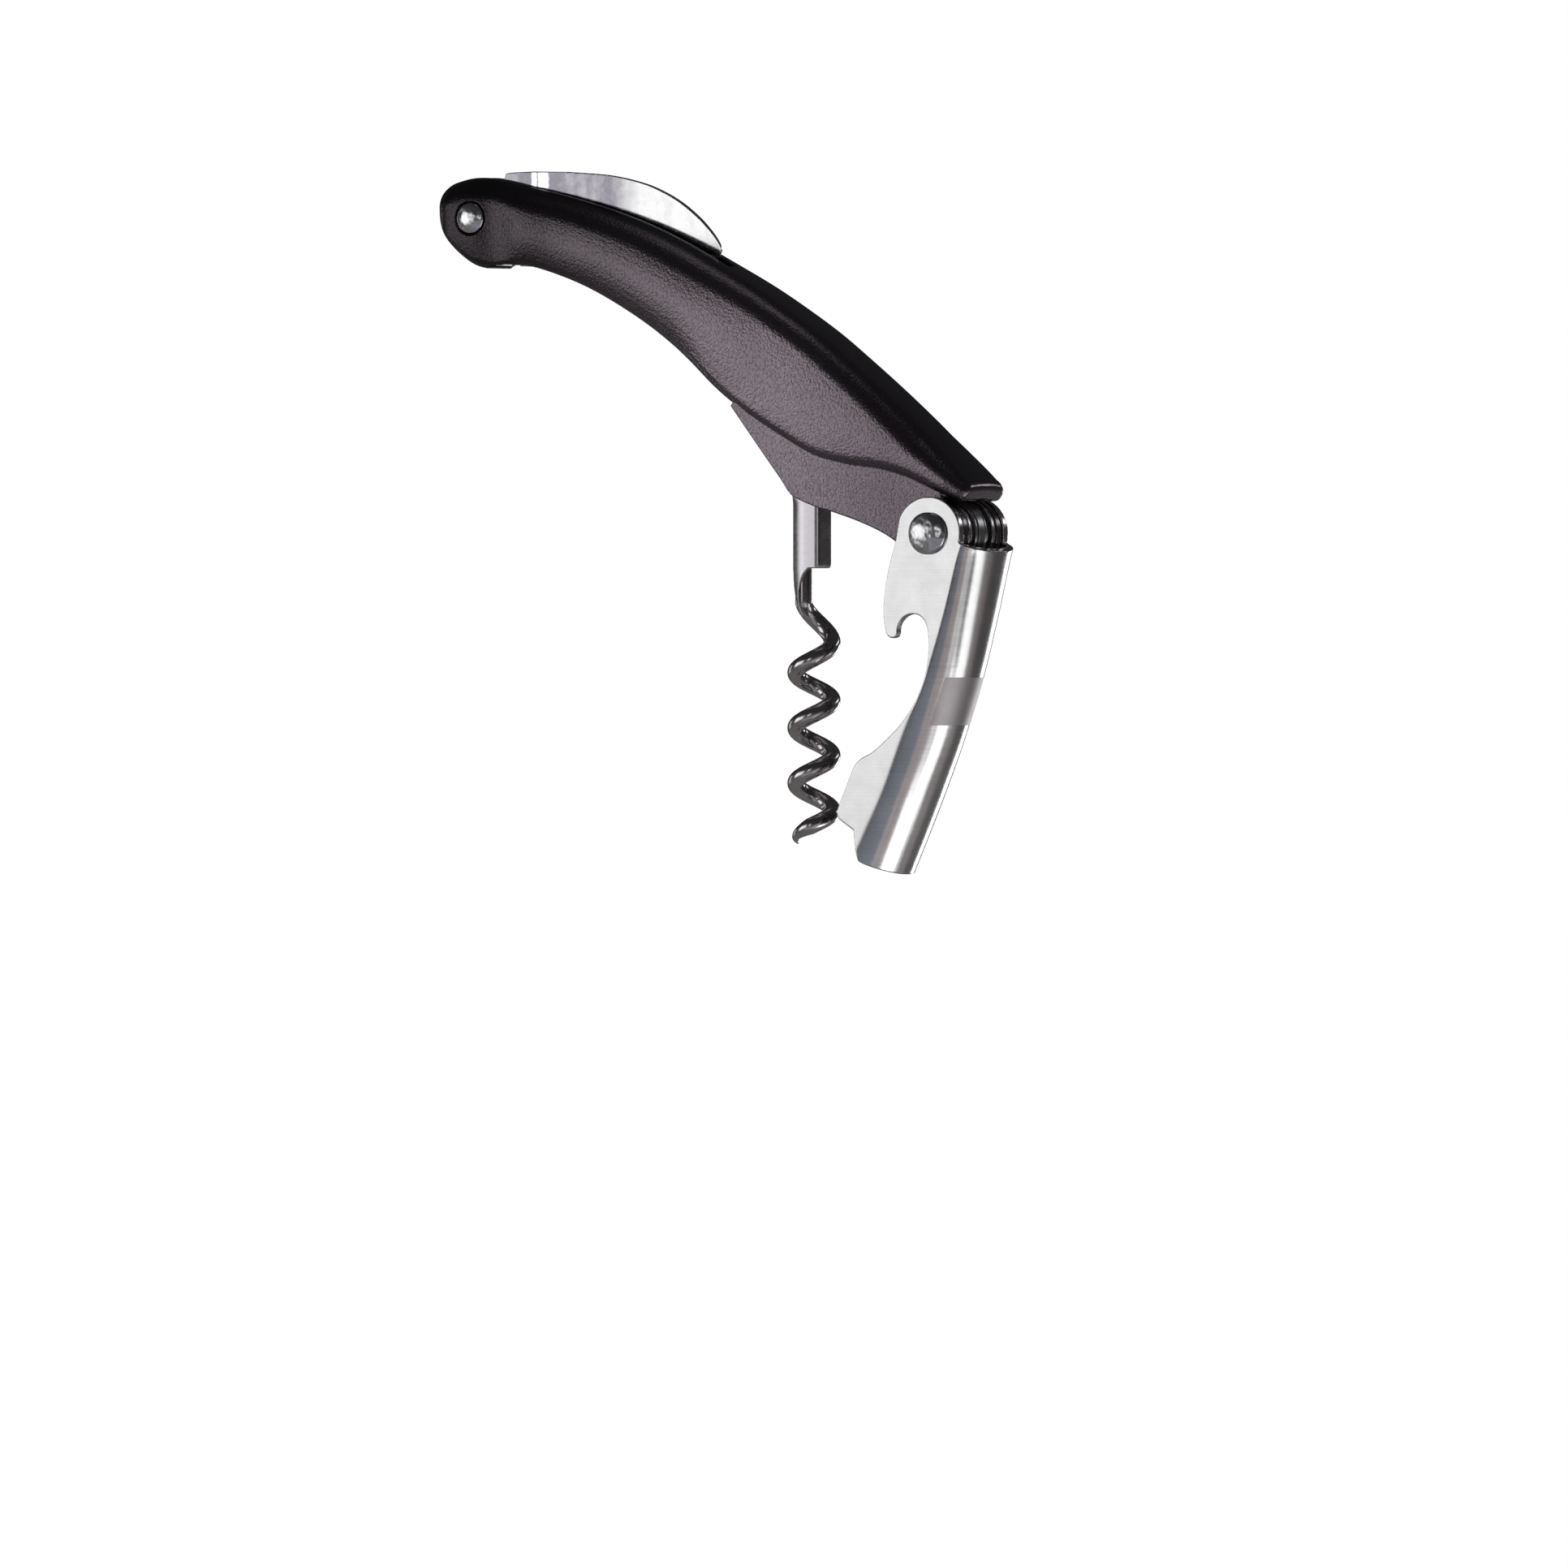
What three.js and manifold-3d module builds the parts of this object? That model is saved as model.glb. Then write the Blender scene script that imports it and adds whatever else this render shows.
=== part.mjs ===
// Lever corkscrew of the waiter's kind: a curved handle with a worm, a single-step lever and a foil
// knife. Millimetres, +Z up. Outlines lie in the X-Z plane and are given from the lever rivet's axis;
// Y runs across the tool, with its mid-plane at y = 0. The tool stands as it does at work: the worm
// points down, the lever hangs from the handle's front end, and the knife is folded.
import * as THREE from 'three';
import { mergeVertices } from 'three/addons/utils/BufferGeometryUtils.js';
import Module from 'manifold-3d';

const wasm = await Module();
wasm.setup();

// ---- driving dimensions ----

// The centre of the whole tool's box, seen from the lever rivet. The model is moved so that it is 0, 0.
const BOX_CENTRE = [-44.0, 1.95];

// Pivot and pin axes, as x and z.
const LEVER_PIVOT = [0, 0];
const WORM_PIVOT = [-26.5, 12.5];
const KNIFE_PIVOT = [-89.9, 53];
const FRONT_PIN = [-12.5, 11.8];
const REAR_PIN = [-40, 32];
const STOP_PIN = [-58, 46.6];

// Half-widths of the layers, outwards from the mid-plane.
const BLADE_HALF = 0.6;
const SPRING_HALF = 1;
const SLOT_HALF = 1.4;
const SHANK_HALF = 2.25;
const SPACER_STEP = 2;          // outer face of the spring spacers' wide flanges
const LINER_INNER = 3.4;
const LINER_OUTER = 4.4;
const CAVITY_HALF = 4.7;
const CHEEK_HALF = 6.4;
const LEVER_INNER = 6.7;
const LEVER_SHEET = 1.4;
const LEVER_OUTER = LEVER_INNER + LEVER_SHEET;

// Clearances.
const GAP = 0.3;          // between pieces that lie side by side
const SIDE_PLAY = 0.15;   // between washers, heads and what they bear on
const HOLE_PLAY = 0.15;   // round a pin in its hole

// Radii.
const FRONT_RADIUS = 5.9;       // cheeks and liners round the lever rivet
const EAR_RADIUS = 6.1;         // the lever's ears
const EAR_RELIEF = 6.5;         // room for the ears under the grip
const TANG_RADIUS = 3.9;        // knife round its rivet
const KNIFE_POCKET = 4.7;       // handle's hollow round the knife rivet
const SHANK_RADIUS = 3.3;       // shank round its pin
const LEVER_RIVET_RADIUS = 1.75;
const KNIFE_RIVET_RADIUS = 1.5;
const WORM_PIN_RADIUS = 1.5;
const SMALL_PIN_RADIUS = 1.1;
const LEVER_HEAD = [3.5, 1.25];  // rivet head's radius and height
const KNIFE_HEAD = [2.55, 0.95];
const KNIFE_SEAT = [2.85, 5.0];   // counterbore's radius and floor, from the mid-plane

// The worm's wire.
const WIRE_RADIUS = 1.4;
const COIL_RADIUS = 3.05;       // of the wire's centre line
const COIL_PITCH = 9.2;
const COIL_AXIS = -26.6;
const COIL_TOP = -17.9;         // where the wire reaches its full radius
const COIL_TOP_ANGLE = 30;
const COIL_EASE = 25;           // degrees by which the first turn lags, and the depth it takes to do so
const COIL_EASE_DEPTH = 1.6;
const WORM_TIP = -51.5;
const LEAD_START = -11.5;       // where the straight wire starts to open out
const LEAD_X = -28.6;
const WIRE_TOP = 3;
const TIP_LENGTH = 3.2;         // height over which the wire is ground to a point

// ---- outlines and solids ----

const vector = ([x, z]) => new THREE.Vector2(x, z);

function shapeOf(points) {
  return new THREE.Shape(points.map(vector));
}

// Points on a circle from one angle to another, in degrees.
function arc([x, z], radius, from, to, steps) {
  return Array.from({ length: steps + 1 }, (_, i) => {
    const angle = THREE.MathUtils.degToRad(from + (to - from) * i / steps);
    return [x + radius * Math.cos(angle), z + radius * Math.sin(angle)];
  });
}

// A smooth line through points, with a few steps between each two.
function curve(points, steps = 3) {
  const line = new THREE.SplineCurve(points.map(vector));
  return line.getPoints((points.length - 1) * steps).map((p) => [p.x, p.y]);
}

function solidOf(geometry) {
  const bare = geometry.clone();
  bare.deleteAttribute('normal');
  bare.deleteAttribute('uv');
  const merged = mergeVertices(bare, 1e-4);
  const mesh = new wasm.Mesh({
    numProp: 3,
    vertProperties: new Float32Array(merged.attributes.position.array),
    triVerts: new Uint32Array(merged.index.array),
  });
  return new wasm.Manifold(mesh);
}

function geometryOf(solid) {
  const mesh = solid.getMesh();
  const geometry = new THREE.BufferGeometry();
  geometry.setAttribute('position', new THREE.BufferAttribute(mesh.vertProperties, 3));
  geometry.setIndex(new THREE.BufferAttribute(mesh.triVerts, 1));
  return geometry;
}

// An outline's plate between two values of y.
function plate(points, low, high) {
  const geometry = new THREE.ExtrudeGeometry(shapeOf(points), { depth: high - low, bevelEnabled: false });
  geometry.rotateX(Math.PI / 2);
  geometry.translate(0, high, 0);
  return solidOf(geometry);
}

// The same plate on both sides of the mid-plane.
function platePair(points, inner, outer) {
  return plate(points, inner, outer).add(plate(points, -outer, -inner));
}

// A round bar along Y.
function bar([x, z], radius, low, high, sides = 24) {
  const geometry = new THREE.CylinderGeometry(radius, radius, high - low, sides);
  geometry.translate(0, (high + low) / 2, 0);
  geometry.translate(x, 0, z);
  return solidOf(geometry);
}

// A turned piece on an axis along Y, from a profile of radius and y.
function turned([x, z], profile, sides = 24) {
  const geometry = new THREE.LatheGeometry(profile.map(vector), sides);
  geometry.translate(x, 0, z);
  return solidOf(geometry);
}

// A closed skin through rings of equal length, with a flat fan over each end.
function loft(rings) {
  const count = rings[0].length;
  const corners = rings.flat();
  const faces = [];
  rings.slice(1).forEach((_, r) => {
    for (let i = 0; i < count; i += 1) {
      const a = r * count + i;
      const b = r * count + (i + 1) % count;
      faces.push(a, b, a + count, b, b + count, a + count);
    }
  });
  [rings[0], rings.at(-1)].forEach((ring, end) => {
    const middle = ring.reduce((sum, p) => sum.add(p), new THREE.Vector3()).divideScalar(count);
    const centre = corners.push(middle) - 1;
    const base = end * (rings.length - 1) * count;
    for (let i = 0; i < count; i += 1) {
      const a = base + i;
      const b = base + (i + 1) % count;
      faces.push(...(end ? [a, b, centre] : [b, a, centre]));
    }
  });
  const geometry = new THREE.BufferGeometry().setFromPoints(corners);
  geometry.setIndex(faces);
  return solidOf(geometry);
}

function piece(name, solid, color, roughness, metalness) {
  const material = new THREE.MeshStandardMaterial({ color, roughness, metalness });
  const mesh = new THREE.Mesh(geometryOf(solid), material);
  mesh.name = name;
  return mesh;
}

const plastic = (name, solid) => piece(name, solid, 0x2b292c, 0.6, 0);
const steel = (name, solid) => piece(name, solid, 0xb9bcc0, 0.3, 1);
const polished = (name, solid) => piece(name, solid, 0xd5d6d8, 0.12, 1);
const darkSteel = (name, solid) => piece(name, solid, 0x6d6b6c, 0.2, 1);

// ---- handle ----

// The grip from its rear end to its front lip: the spine's x and z, the lower edge's x and z, and the
// half-width. On the front half the lower edge is the ridge above the flat cheeks.
const GRIP = [
  [-97.3, 55.4, -97.3, 54.0, 1.6],
  [-97.0, 56.8, -96.8, 52.0, 3.6],
  [-95.7, 58.1, -95.2, 49.4, 4.9],
  [-93.4, 58.9, -92.4, 46.8, 5.45],
  [-90.2, 59.4, -89.0, 44.9, 5.8],
  [-86.0, 59.1, -84.6, 44.4, 5.45],
  [-79.7, 57.7, -79.8, 44.7, 6.45],
  [-72.5, 56.1, -74.0, 43.3, 6.5],
  [-65.0, 54.1, -67.6, 41.0, 6.8],
  [-57.6, 51.6, -61.3, 37.9, 7.0],
  [-50.4, 48.5, -54.9, 34.1, 7.2],
  [-43.5, 45.0, -48.6, 29.5, 7.3],
  [-36.2, 41.1, -42.2, 24.0, 7.4],
  [-29.9, 37.3, -35.6, 19.4, 7.4],
  [-23.6, 33.2, -29.4, 15.8, 7.4],
  [-17.5, 28.6, -23.4, 12.7, 7.4],
  [-11.3, 23.7, -17.0, 11.1, 7.4],
  [-5.1, 18.5, -10.4, 10.3, 7.4],
  [-0.2, 14.1, -4.6, 8.8, 7.4],
  [3.6, 10.6, 0.4, 6.9, 7.3],
  [5.7, 8.5, 3.9, 5.6, 7.0],
  [6.4, 7.2, 5.4, 5.0, 6.5],
];
const TOP_EDGE_RADIUS = 3.7;
const LOW_EDGE_RADIUS = 1.5;

// One ring of the grip: crowned over the spine, straight down the sides, round at the lower edges.
function gripRing([topX, topZ, lowX, lowZ, half]) {
  const depth = Math.hypot(lowX - topX, lowZ - topZ);
  const topRadius = Math.min(TOP_EDGE_RADIUS, depth * 0.45, half * 0.9);
  const lowRadius = Math.min(LOW_EDGE_RADIUS, depth * 0.3, half * 0.5);
  const side = [
    ...arc([0, 0], 1, 90, 0, 5).map(([y, n]) => [half - topRadius * (1 - y), topRadius * (1 - n)]),
    ...arc([0, 0], 1, 0, -90, 3).map(([y, n]) => [half - lowRadius * (1 - y), depth - lowRadius * (1 + n)]),
  ];
  const ring = [...side, ...side.toReversed().map(([y, n]) => [-y, n])];
  return ring.map(([y, n]) => {
    const share = n / depth;
    return new THREE.Vector3(topX + (lowX - topX) * share, y, topZ + (lowZ - topZ) * share);
  });
}

// The spine, moved inwards by a depth, from one row of the grip to another.
function spineInset(depth, first, last) {
  return GRIP.slice(first, last + 1).map(([topX, topZ, lowX, lowZ]) => {
    const share = depth / Math.hypot(lowX - topX, lowZ - topZ);
    return [topX + (lowX - topX) * share, topZ + (lowZ - topZ) * share];
  });
}

// Lower edge of the flat cheeks, from the grip's underside to the front end.
const CHEEK_EDGE = [[-39.1, 21.4], [-33.0, 13.6], [-29.5, 9.2], [-27.9, 7.0], [-26.4, 5.9],
  [-22.5, 4.4], [-19.4, 3.6], [-14.1, 1.9], [-9.4, -0.1], [-5.6, -2.5]];

function cheekOutline() {
  return [...CHEEK_EDGE, ...arc(LEVER_PIVOT, FRONT_RADIUS, -142, 66, 16),
    [-1, 9.5], [-10.4, 13], [-23.4, 17], [-36, 25]];
}

function cavityOutline() {
  return [
    ...spineInset(2.4, 6, 18).reverse(),
    ...arc(KNIFE_PIVOT, KNIFE_POCKET, 80, 304, 16),
    [-87.2, 38], [-60, 20], [-30, -12], [12, -12], [12, 3.6],
    ...arc(LEVER_PIVOT, FRONT_RADIUS + GAP, 35.5, 72, 4),
  ];
}

// The knife's slot through the spine, and round the rear end as far as the open knife needs.
const SLOT_FRONT = -42.2;
const SLOT_OUTLINE = [[SLOT_FRONT, 70], [SLOT_FRONT, 41], [-70, 50], KNIFE_PIVOT,
  [-95.7, 43], [-110, 43], [-110, 70]];

// A scoop in the lower edge, for a nail to catch the folded worm's tip. A thin wall inside it hides
// all but the lower edge of the liners' feet.
const SCOOP = [-83.3, 40.9];
const SCOOP_RADIUS = 5.4;
const SCOOP_INNER_RADIUS = 4.3;
const SCOOP_FLOOR = 5.3;         // how far out of the mid-plane the thin wall reaches

function handleShell() {
  const seat = [
    bar(KNIFE_PIVOT, KNIFE_SEAT[0], KNIFE_SEAT[1], 12),
    bar(KNIFE_PIVOT, KNIFE_SEAT[0], -12, -KNIFE_SEAT[1]),
  ];
  return loft(GRIP.toReversed().map(gripRing))
    .subtract(platePair(arc(LEVER_PIVOT, EAR_RELIEF, 0, 345, 23), CHEEK_HALF, 12))
    .add(plate(cheekOutline(), -CHEEK_HALF, CHEEK_HALF))
    .subtract(plate(cavityOutline(), -CAVITY_HALF, CAVITY_HALF))
    .subtract(plate(SLOT_OUTLINE, -SLOT_HALF, SLOT_HALF))
    .subtract(bar(SCOOP, SCOOP_RADIUS, SCOOP_FLOOR, 12, 32))
    .subtract(bar(SCOOP, SCOOP_RADIUS, -12, -SCOOP_FLOOR, 32))
    .subtract(bar(SCOOP, SCOOP_INNER_RADIUS, -12, 12, 32))
    .subtract(bar(LEVER_PIVOT, LEVER_RIVET_RADIUS + HOLE_PLAY, -12, 12))
    .subtract(bar(KNIFE_PIVOT, KNIFE_RIVET_RADIUS + HOLE_PLAY, -12, 12))
    .subtract(seat[0])
    .subtract(seat[1]);
}

// ---- frame inside the handle ----

// Where the folded worm lies: a line from the worm's pin, and how far from it the coil reaches.
const FOLD_ANGLE = 122;
const COIL_START = 23.6;
const COIL_END = 64.6;
const COIL_CLEARANCE = COIL_RADIUS + WIRE_RADIUS + 0.5;

// A point along the folded worm's axis and to its upper side, seen from the worm's pin.
function besideFoldedWorm(along, above) {
  const angle = THREE.MathUtils.degToRad(FOLD_ANGLE - 90);
  return [
    WORM_PIVOT[0] - along * Math.cos(angle) + above * Math.sin(angle),
    WORM_PIVOT[1] + along * Math.sin(angle) + above * Math.cos(angle),
  ];
}

// The liner fills the handle's hollow but leaves the folded worm's coil free. Its rear foot shows in
// the scoop.
function linerOutline() {
  return [
    ...arc(LEVER_PIVOT, FRONT_RADIUS - 0.1, -150, 72, 16),
    ...spineInset(2.8, 7, 18).reverse(),
    ...arc(KNIFE_PIVOT, KNIFE_POCKET - 0.4, 75, 304, 14),
    [-86.0, 49.0], [-85.9, 45.5], [-85.3, 45.0],
    ...arc(WORM_PIVOT, COIL_END, 149.9, 144, 4),
    besideFoldedWorm(COIL_START, COIL_CLEARANCE),
    [-43.6, 26.3], [-41.4, 24.2], [-38.3, 21.5], [-32.4, 14.1], [-28.8, 9.5], [-26.2, 6.7],
    [-22.3, 5.2], [-19.2, 4.4], [-13.8, 2.6], [-9.0, 0.6],
  ];
}

function linerPlate(low, high) {
  const holes = [
    [LEVER_PIVOT, LEVER_RIVET_RADIUS],
    [KNIFE_PIVOT, KNIFE_RIVET_RADIUS],
    [WORM_PIVOT, WORM_PIN_RADIUS],
    [FRONT_PIN, SMALL_PIN_RADIUS],
    [REAR_PIN, SMALL_PIN_RADIUS],
    [STOP_PIN, SMALL_PIN_RADIUS],
  ];
  return holes.reduce(
    (solid, [axis, radius]) => solid.subtract(bar(axis, radius + HOLE_PLAY, low - 1, high + 1, 16)),
    plate(linerOutline(), low, high),
  );
}

// The back spring: a strip from the lever rivet, bearing on the worm's shank.
function backSpring() {
  const outline = [
    ...arc(LEVER_PIVOT, FRONT_RADIUS - 0.1, -175, 110, 18),
    ...curve([[-8.5, 13.4], [-22, 24], [-36, 33.2], [-45, 37.2]], 2),
    [-45.6, 34.6],
    ...curve([[-35, 25.6], [-24.4, 17.2], [-15, 9.4]], 2),
  ];
  return [[LEVER_PIVOT, LEVER_RIVET_RADIUS], [FRONT_PIN, SMALL_PIN_RADIUS], [REAR_PIN, SMALL_PIN_RADIUS]].reduce(
    (solid, [axis, radius]) => solid.subtract(bar(axis, radius + HOLE_PLAY, -3, 3, 16)),
    plate(outline, -SPRING_HALF, SPRING_HALF),
  );
}

// A pin along Y that ends flush with the liners' outer faces.
function linerPin(axis, radius) {
  return bar(axis, radius, -LINER_OUTER, LINER_OUTER, 16);
}

// A washer between two values of y.
function washer(axis, outer, hole, low, high) {
  return turned(axis, [[hole, low], [outer, low], [outer, high], [hole, high], [hole, low]], 20);
}

// A spacer on the lever rivet: a wide flange beside the spring and a boss that reaches the liner.
function springSpacer(side) {
  const [wide, narrow, hole] = [FRONT_RADIUS - 0.2, 3.2, LEVER_RIVET_RADIUS + HOLE_PLAY];
  const [low, step, high] = [SPRING_HALF + SIDE_PLAY, SPACER_STEP, LINER_INNER - SIDE_PLAY];
  const profile = [[hole, low], [wide, low], [wide, step], [narrow, step], [narrow, high], [hole, high], [hole, low]];
  return turned(LEVER_PIVOT, side > 0 ? profile : profile.map(([r, y]) => [r, -y]).toReversed());
}

// A rivet along Y with a domed head at each end.
function rivet(axis, radius, [headRadius, headHeight], seat) {
  const sphere = (headRadius ** 2 + headHeight ** 2) / (2 * headHeight);
  const dome = [0, 0.3, 0.6, 0.85, 1].map((share) => {
    const r = headRadius * share;
    return [r, seat + Math.sqrt(sphere ** 2 - r ** 2) - (sphere - headHeight)];
  });
  return turned(axis, [
    ...dome.map(([r, y]) => [r, -y]),
    [radius, -seat],
    [radius, seat],
    ...dome.toReversed(),
  ]);
}

// ---- lever ----

// The flat that rests on the bottle's lip, from its outer to its inner end.
const NOTCH_OUTER = [-16.4, -48.1];
const NOTCH_INNER = [-14.4, -49.4];

// One flange in side view: the ear, the outer edge with the cap hook, the arch, the wide foot with the
// notch for the bottle's lip, and the lower end. It runs on past the back, which the channel trims.
function flangeOutline() {
  return [
    ...arc(LEVER_PIVOT, EAR_RADIUS, -15, 155, 14),
    ...curve([[-6.3, -1.4], [-7.7, -6.1], [-8.45, -10.5], [-8.6, -13.5], [-8.2, -16.2]], 2),
    [-7.6, -17.2], [-6.8, -17.4], [-6.0, -16.9],
    ...curve([[-5.75, -15.4], [-4.7, -13.95], [-3.0, -13.4], [-1.4, -13.9], [-0.3, -15.5], [0.05, -18.2],
      [-0.15, -21.2], [-0.95, -24.5], [-2.5, -27.9], [-4.4, -30.6], [-6.5, -32.9], [-10.5, -36.2]], 2),
    [-13.0, -37.5], [-14.4, -39.0], [-16.0, -42.6], [-17.4, -45.8], [-17.4, -47.2],
    NOTCH_OUTER, NOTCH_INNER,
    [-14.2, -51.4], [-13.8, -54.0], [-12.9, -55.0],
    [-8.2, -57.0], [5, -62.6], [20, -62.6], [20, -7.5],
  ];
}

// The channel from top to bottom: height, where the flat flanges end, and the back's middle.
const CHANNEL = [
  [9, 9.4, 12.8],
  [-1.4, 6.3, 9.7],
  [-4.9, 5.1, 8.8],
  [-13.8, 2.6, 6.8],
  [-24, -1.0, 4.3],
  [-34, -5.7, 1.1],
  [-42.6, -9.2, -2.4],
  [-49.6, -12.8, -5.4],
  [-58.5, -17.5, -9.4],
];

// The channel's outside, or its inside when a sheet's thickness is taken off.
function channel(inset) {
  const half = LEVER_OUTER - inset;
  return loft(CHANNEL.map(([z, bend, back]) => {
    const depth = back - bend - inset;
    const round = arc([0, 0], 1, -90, 90, 14).map(([x, y]) => new THREE.Vector3(bend + depth * x, half * y, z));
    return [new THREE.Vector3(-40, -half, z), ...round, new THREE.Vector3(-40, half, z)];
  }).toReversed());
}

function lever() {
  return channel(0)
    .subtract(channel(LEVER_SHEET))
    .intersect(plate(flangeOutline(), -12, 12))
    .subtract(bar(LEVER_PIVOT, LEVER_RIVET_RADIUS + HOLE_PLAY, -12, 12));
}

// ---- worm ----

// The shank is a folded channel, open towards the rear. Its near wall runs on as a tongue that hugs
// the wire; its far wall ends at the step.
const SHANK_WALL = 0.55;
const SHANK_FRONT = -24.4;
const SHANK_STEP = -5.7;

function wormShank() {
  const outline = [
    ...arc(WORM_PIVOT, SHANK_RADIUS, 0, 180, 12),
    [-29.8, -6], [-29.65, -8.6], [-29.3, -10.9], [-28.85, -12.5], [-28.3, -13.6], [-27.7, -14.25],
    [-27.4, -14.0], [-27.75, -13.3], [-28.25, -12.3], [-28.5, -11.0], [-28.5, -9.4], [-28.15, -8.0],
    [-27.4, -6.65], [-26.4, SHANK_STEP],
    [SHANK_FRONT - 0.6, SHANK_STEP], [SHANK_FRONT, SHANK_STEP + 0.5], [SHANK_FRONT, 8.6],
  ];
  const belowStep = [[-32, SHANK_STEP], [-32, -16], [-22, -16], [-22, SHANK_STEP]];
  const wireSlot = [[-32, -16], [SHANK_FRONT - 0.8, -16], [SHANK_FRONT - 0.8, 4.2], [-26, 5.6], [-32, 5.6]];
  return plate(outline, -SHANK_HALF, SHANK_HALF)
    .subtract(plate(wireSlot, SHANK_WALL - SHANK_HALF, SHANK_HALF - SHANK_WALL))
    .subtract(plate(belowStep, 0, SHANK_HALF + 1))
    .subtract(bar(WORM_PIVOT, WORM_PIN_RADIUS + HOLE_PLAY, -3, 3, 20));
}

// The wire's centre line at a height: straight in the shank, opening out, then a right-handed coil.
function wireCentre(z) {
  const opening = THREE.MathUtils.clamp((z - COIL_TOP) / (LEAD_START - COIL_TOP), 0, 1);
  const below = Math.max(COIL_TOP - z, 0);
  const lag = COIL_EASE * (1 - Math.exp(-below / COIL_EASE_DEPTH));
  const angle = THREE.MathUtils.degToRad(COIL_TOP_ANGLE + (180 - COIL_TOP_ANGLE) * opening + lag - 360 * below / COIL_PITCH);
  const radius = THREE.MathUtils.lerp(COIL_RADIUS, COIL_AXIS - LEAD_X, opening);
  return new THREE.Vector3(COIL_AXIS + radius * Math.cos(angle), radius * Math.sin(angle), z);
}

function wormWire() {
  const straight = [WIRE_TOP, LEAD_START].map(wireCentre);
  const lead = [0.17, 0.34, 0.5, 0.67, 0.84].map((s) => wireCentre(THREE.MathUtils.lerp(LEAD_START, COIL_TOP, s)));
  const steps = Math.round((COIL_TOP - WORM_TIP) / COIL_PITCH * 16);
  const coil = Array.from({ length: steps + 1 }, (_, i) => (
    wireCentre(THREE.MathUtils.lerp(COIL_TOP, WORM_TIP, i / steps))
  ));
  const centres = [...straight, ...lead, ...coil];
  const rings = centres.map((centre, i) => {
    const along = centres[Math.min(i + 1, centres.length - 1)].clone().sub(centres[Math.max(i - 1, 0)]).normalize();
    const outward = new THREE.Vector3(centre.x - COIL_AXIS, centre.y, 0).normalize();
    const across = new THREE.Vector3().crossVectors(along, outward).normalize();
    const upright = new THREE.Vector3().crossVectors(across, along);
    const left = WORM_TIP - centre.z;
    const radius = WIRE_RADIUS * Math.min(1, 0.15 + Math.abs(left) / TIP_LENGTH);
    return arc([0, 0], radius, 0, 315, 7).map(([u, v]) => (
      centre.clone().addScaledVector(upright, u).addScaledVector(across, v)
    ));
  });
  return loft(rings);
}

// ---- knife ----

function knifeBlade() {
  const outline = [
    ...arc(KNIFE_PIVOT, TANG_RADIUS, 75, 300, 14),
    [-85.2, 50.8], [-79, 51.6],
    ...curve([[-72, 51.2], [-62, 49.8], [-52, 47.9], [-45.4, 46.5]], 2),
    [-44.7, 46.8], [-44.45, 47.6],
    ...curve([[-45.4, 49.4], [-48.2, 52.4], [-52, 55.3], [-56, 57.4], [-60, 58.8], [-66, 60.0], [-74, 60.6]], 2),
    [-80.5, 60.7], [-85.2, 60.5], [-85.9, 60.0], [-86.2, 58.6], [-87.2, 57.4],
  ];
  return plate(outline, -BLADE_HALF, BLADE_HALF)
    .subtract(bar(KNIFE_PIVOT, KNIFE_RIVET_RADIUS + HOLE_PLAY, -3, 3, 20));
}

// ---- the whole tool ----

const corkscrew = new THREE.Group();
corkscrew.position.set(-BOX_CENTRE[0], 0, -BOX_CENTRE[1]);

const sides = [['near', -1], ['far', 1]];

corkscrew.add(
  plastic('handle_shell', handleShell()),
  steel('liner_near', linerPlate(-LINER_OUTER, -LINER_INNER)),
  steel('liner_far', linerPlate(LINER_INNER, LINER_OUTER)),
  steel('back_spring', backSpring()),
  steel('front_pin', linerPin(FRONT_PIN, SMALL_PIN_RADIUS)),
  steel('rear_pin', linerPin(REAR_PIN, SMALL_PIN_RADIUS)),
  steel('blade_stop_pin', linerPin(STOP_PIN, SMALL_PIN_RADIUS)),
  polished('lever_rivet', rivet(LEVER_PIVOT, LEVER_RIVET_RADIUS, LEVER_HEAD, LEVER_OUTER + SIDE_PLAY)),
  polished('knife_rivet', rivet(KNIFE_PIVOT, KNIFE_RIVET_RADIUS, KNIFE_HEAD, KNIFE_SEAT[1] + SIDE_PLAY)),
  steel('worm_pin', linerPin(WORM_PIVOT, WORM_PIN_RADIUS)),
  steel('lever', lever()),
  steel('worm_shank', wormShank()),
  darkSteel('worm_wire', wormWire()),
  polished('knife_blade', knifeBlade()),
);

sides.forEach(([name, side]) => {
  const between = (inner, outer) => (side > 0 ? [inner, outer] : [-outer, -inner]);
  const beside = (half) => between(half + SIDE_PLAY, LINER_INNER - SIDE_PLAY);
  corkscrew.add(
    steel(`spring_spacer_${name}`, springSpacer(side)),
    steel(`worm_washer_${name}`, washer(WORM_PIVOT, 3, WORM_PIN_RADIUS + HOLE_PLAY, ...beside(SHANK_HALF))),
    steel(`knife_washer_${name}`, washer(KNIFE_PIVOT, 3.2, KNIFE_RIVET_RADIUS + HOLE_PLAY, ...beside(BLADE_HALF))),
  );
});

export default corkscrew;
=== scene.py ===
import math

import bmesh
import bpy
from mathutils import Matrix, Vector


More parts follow.
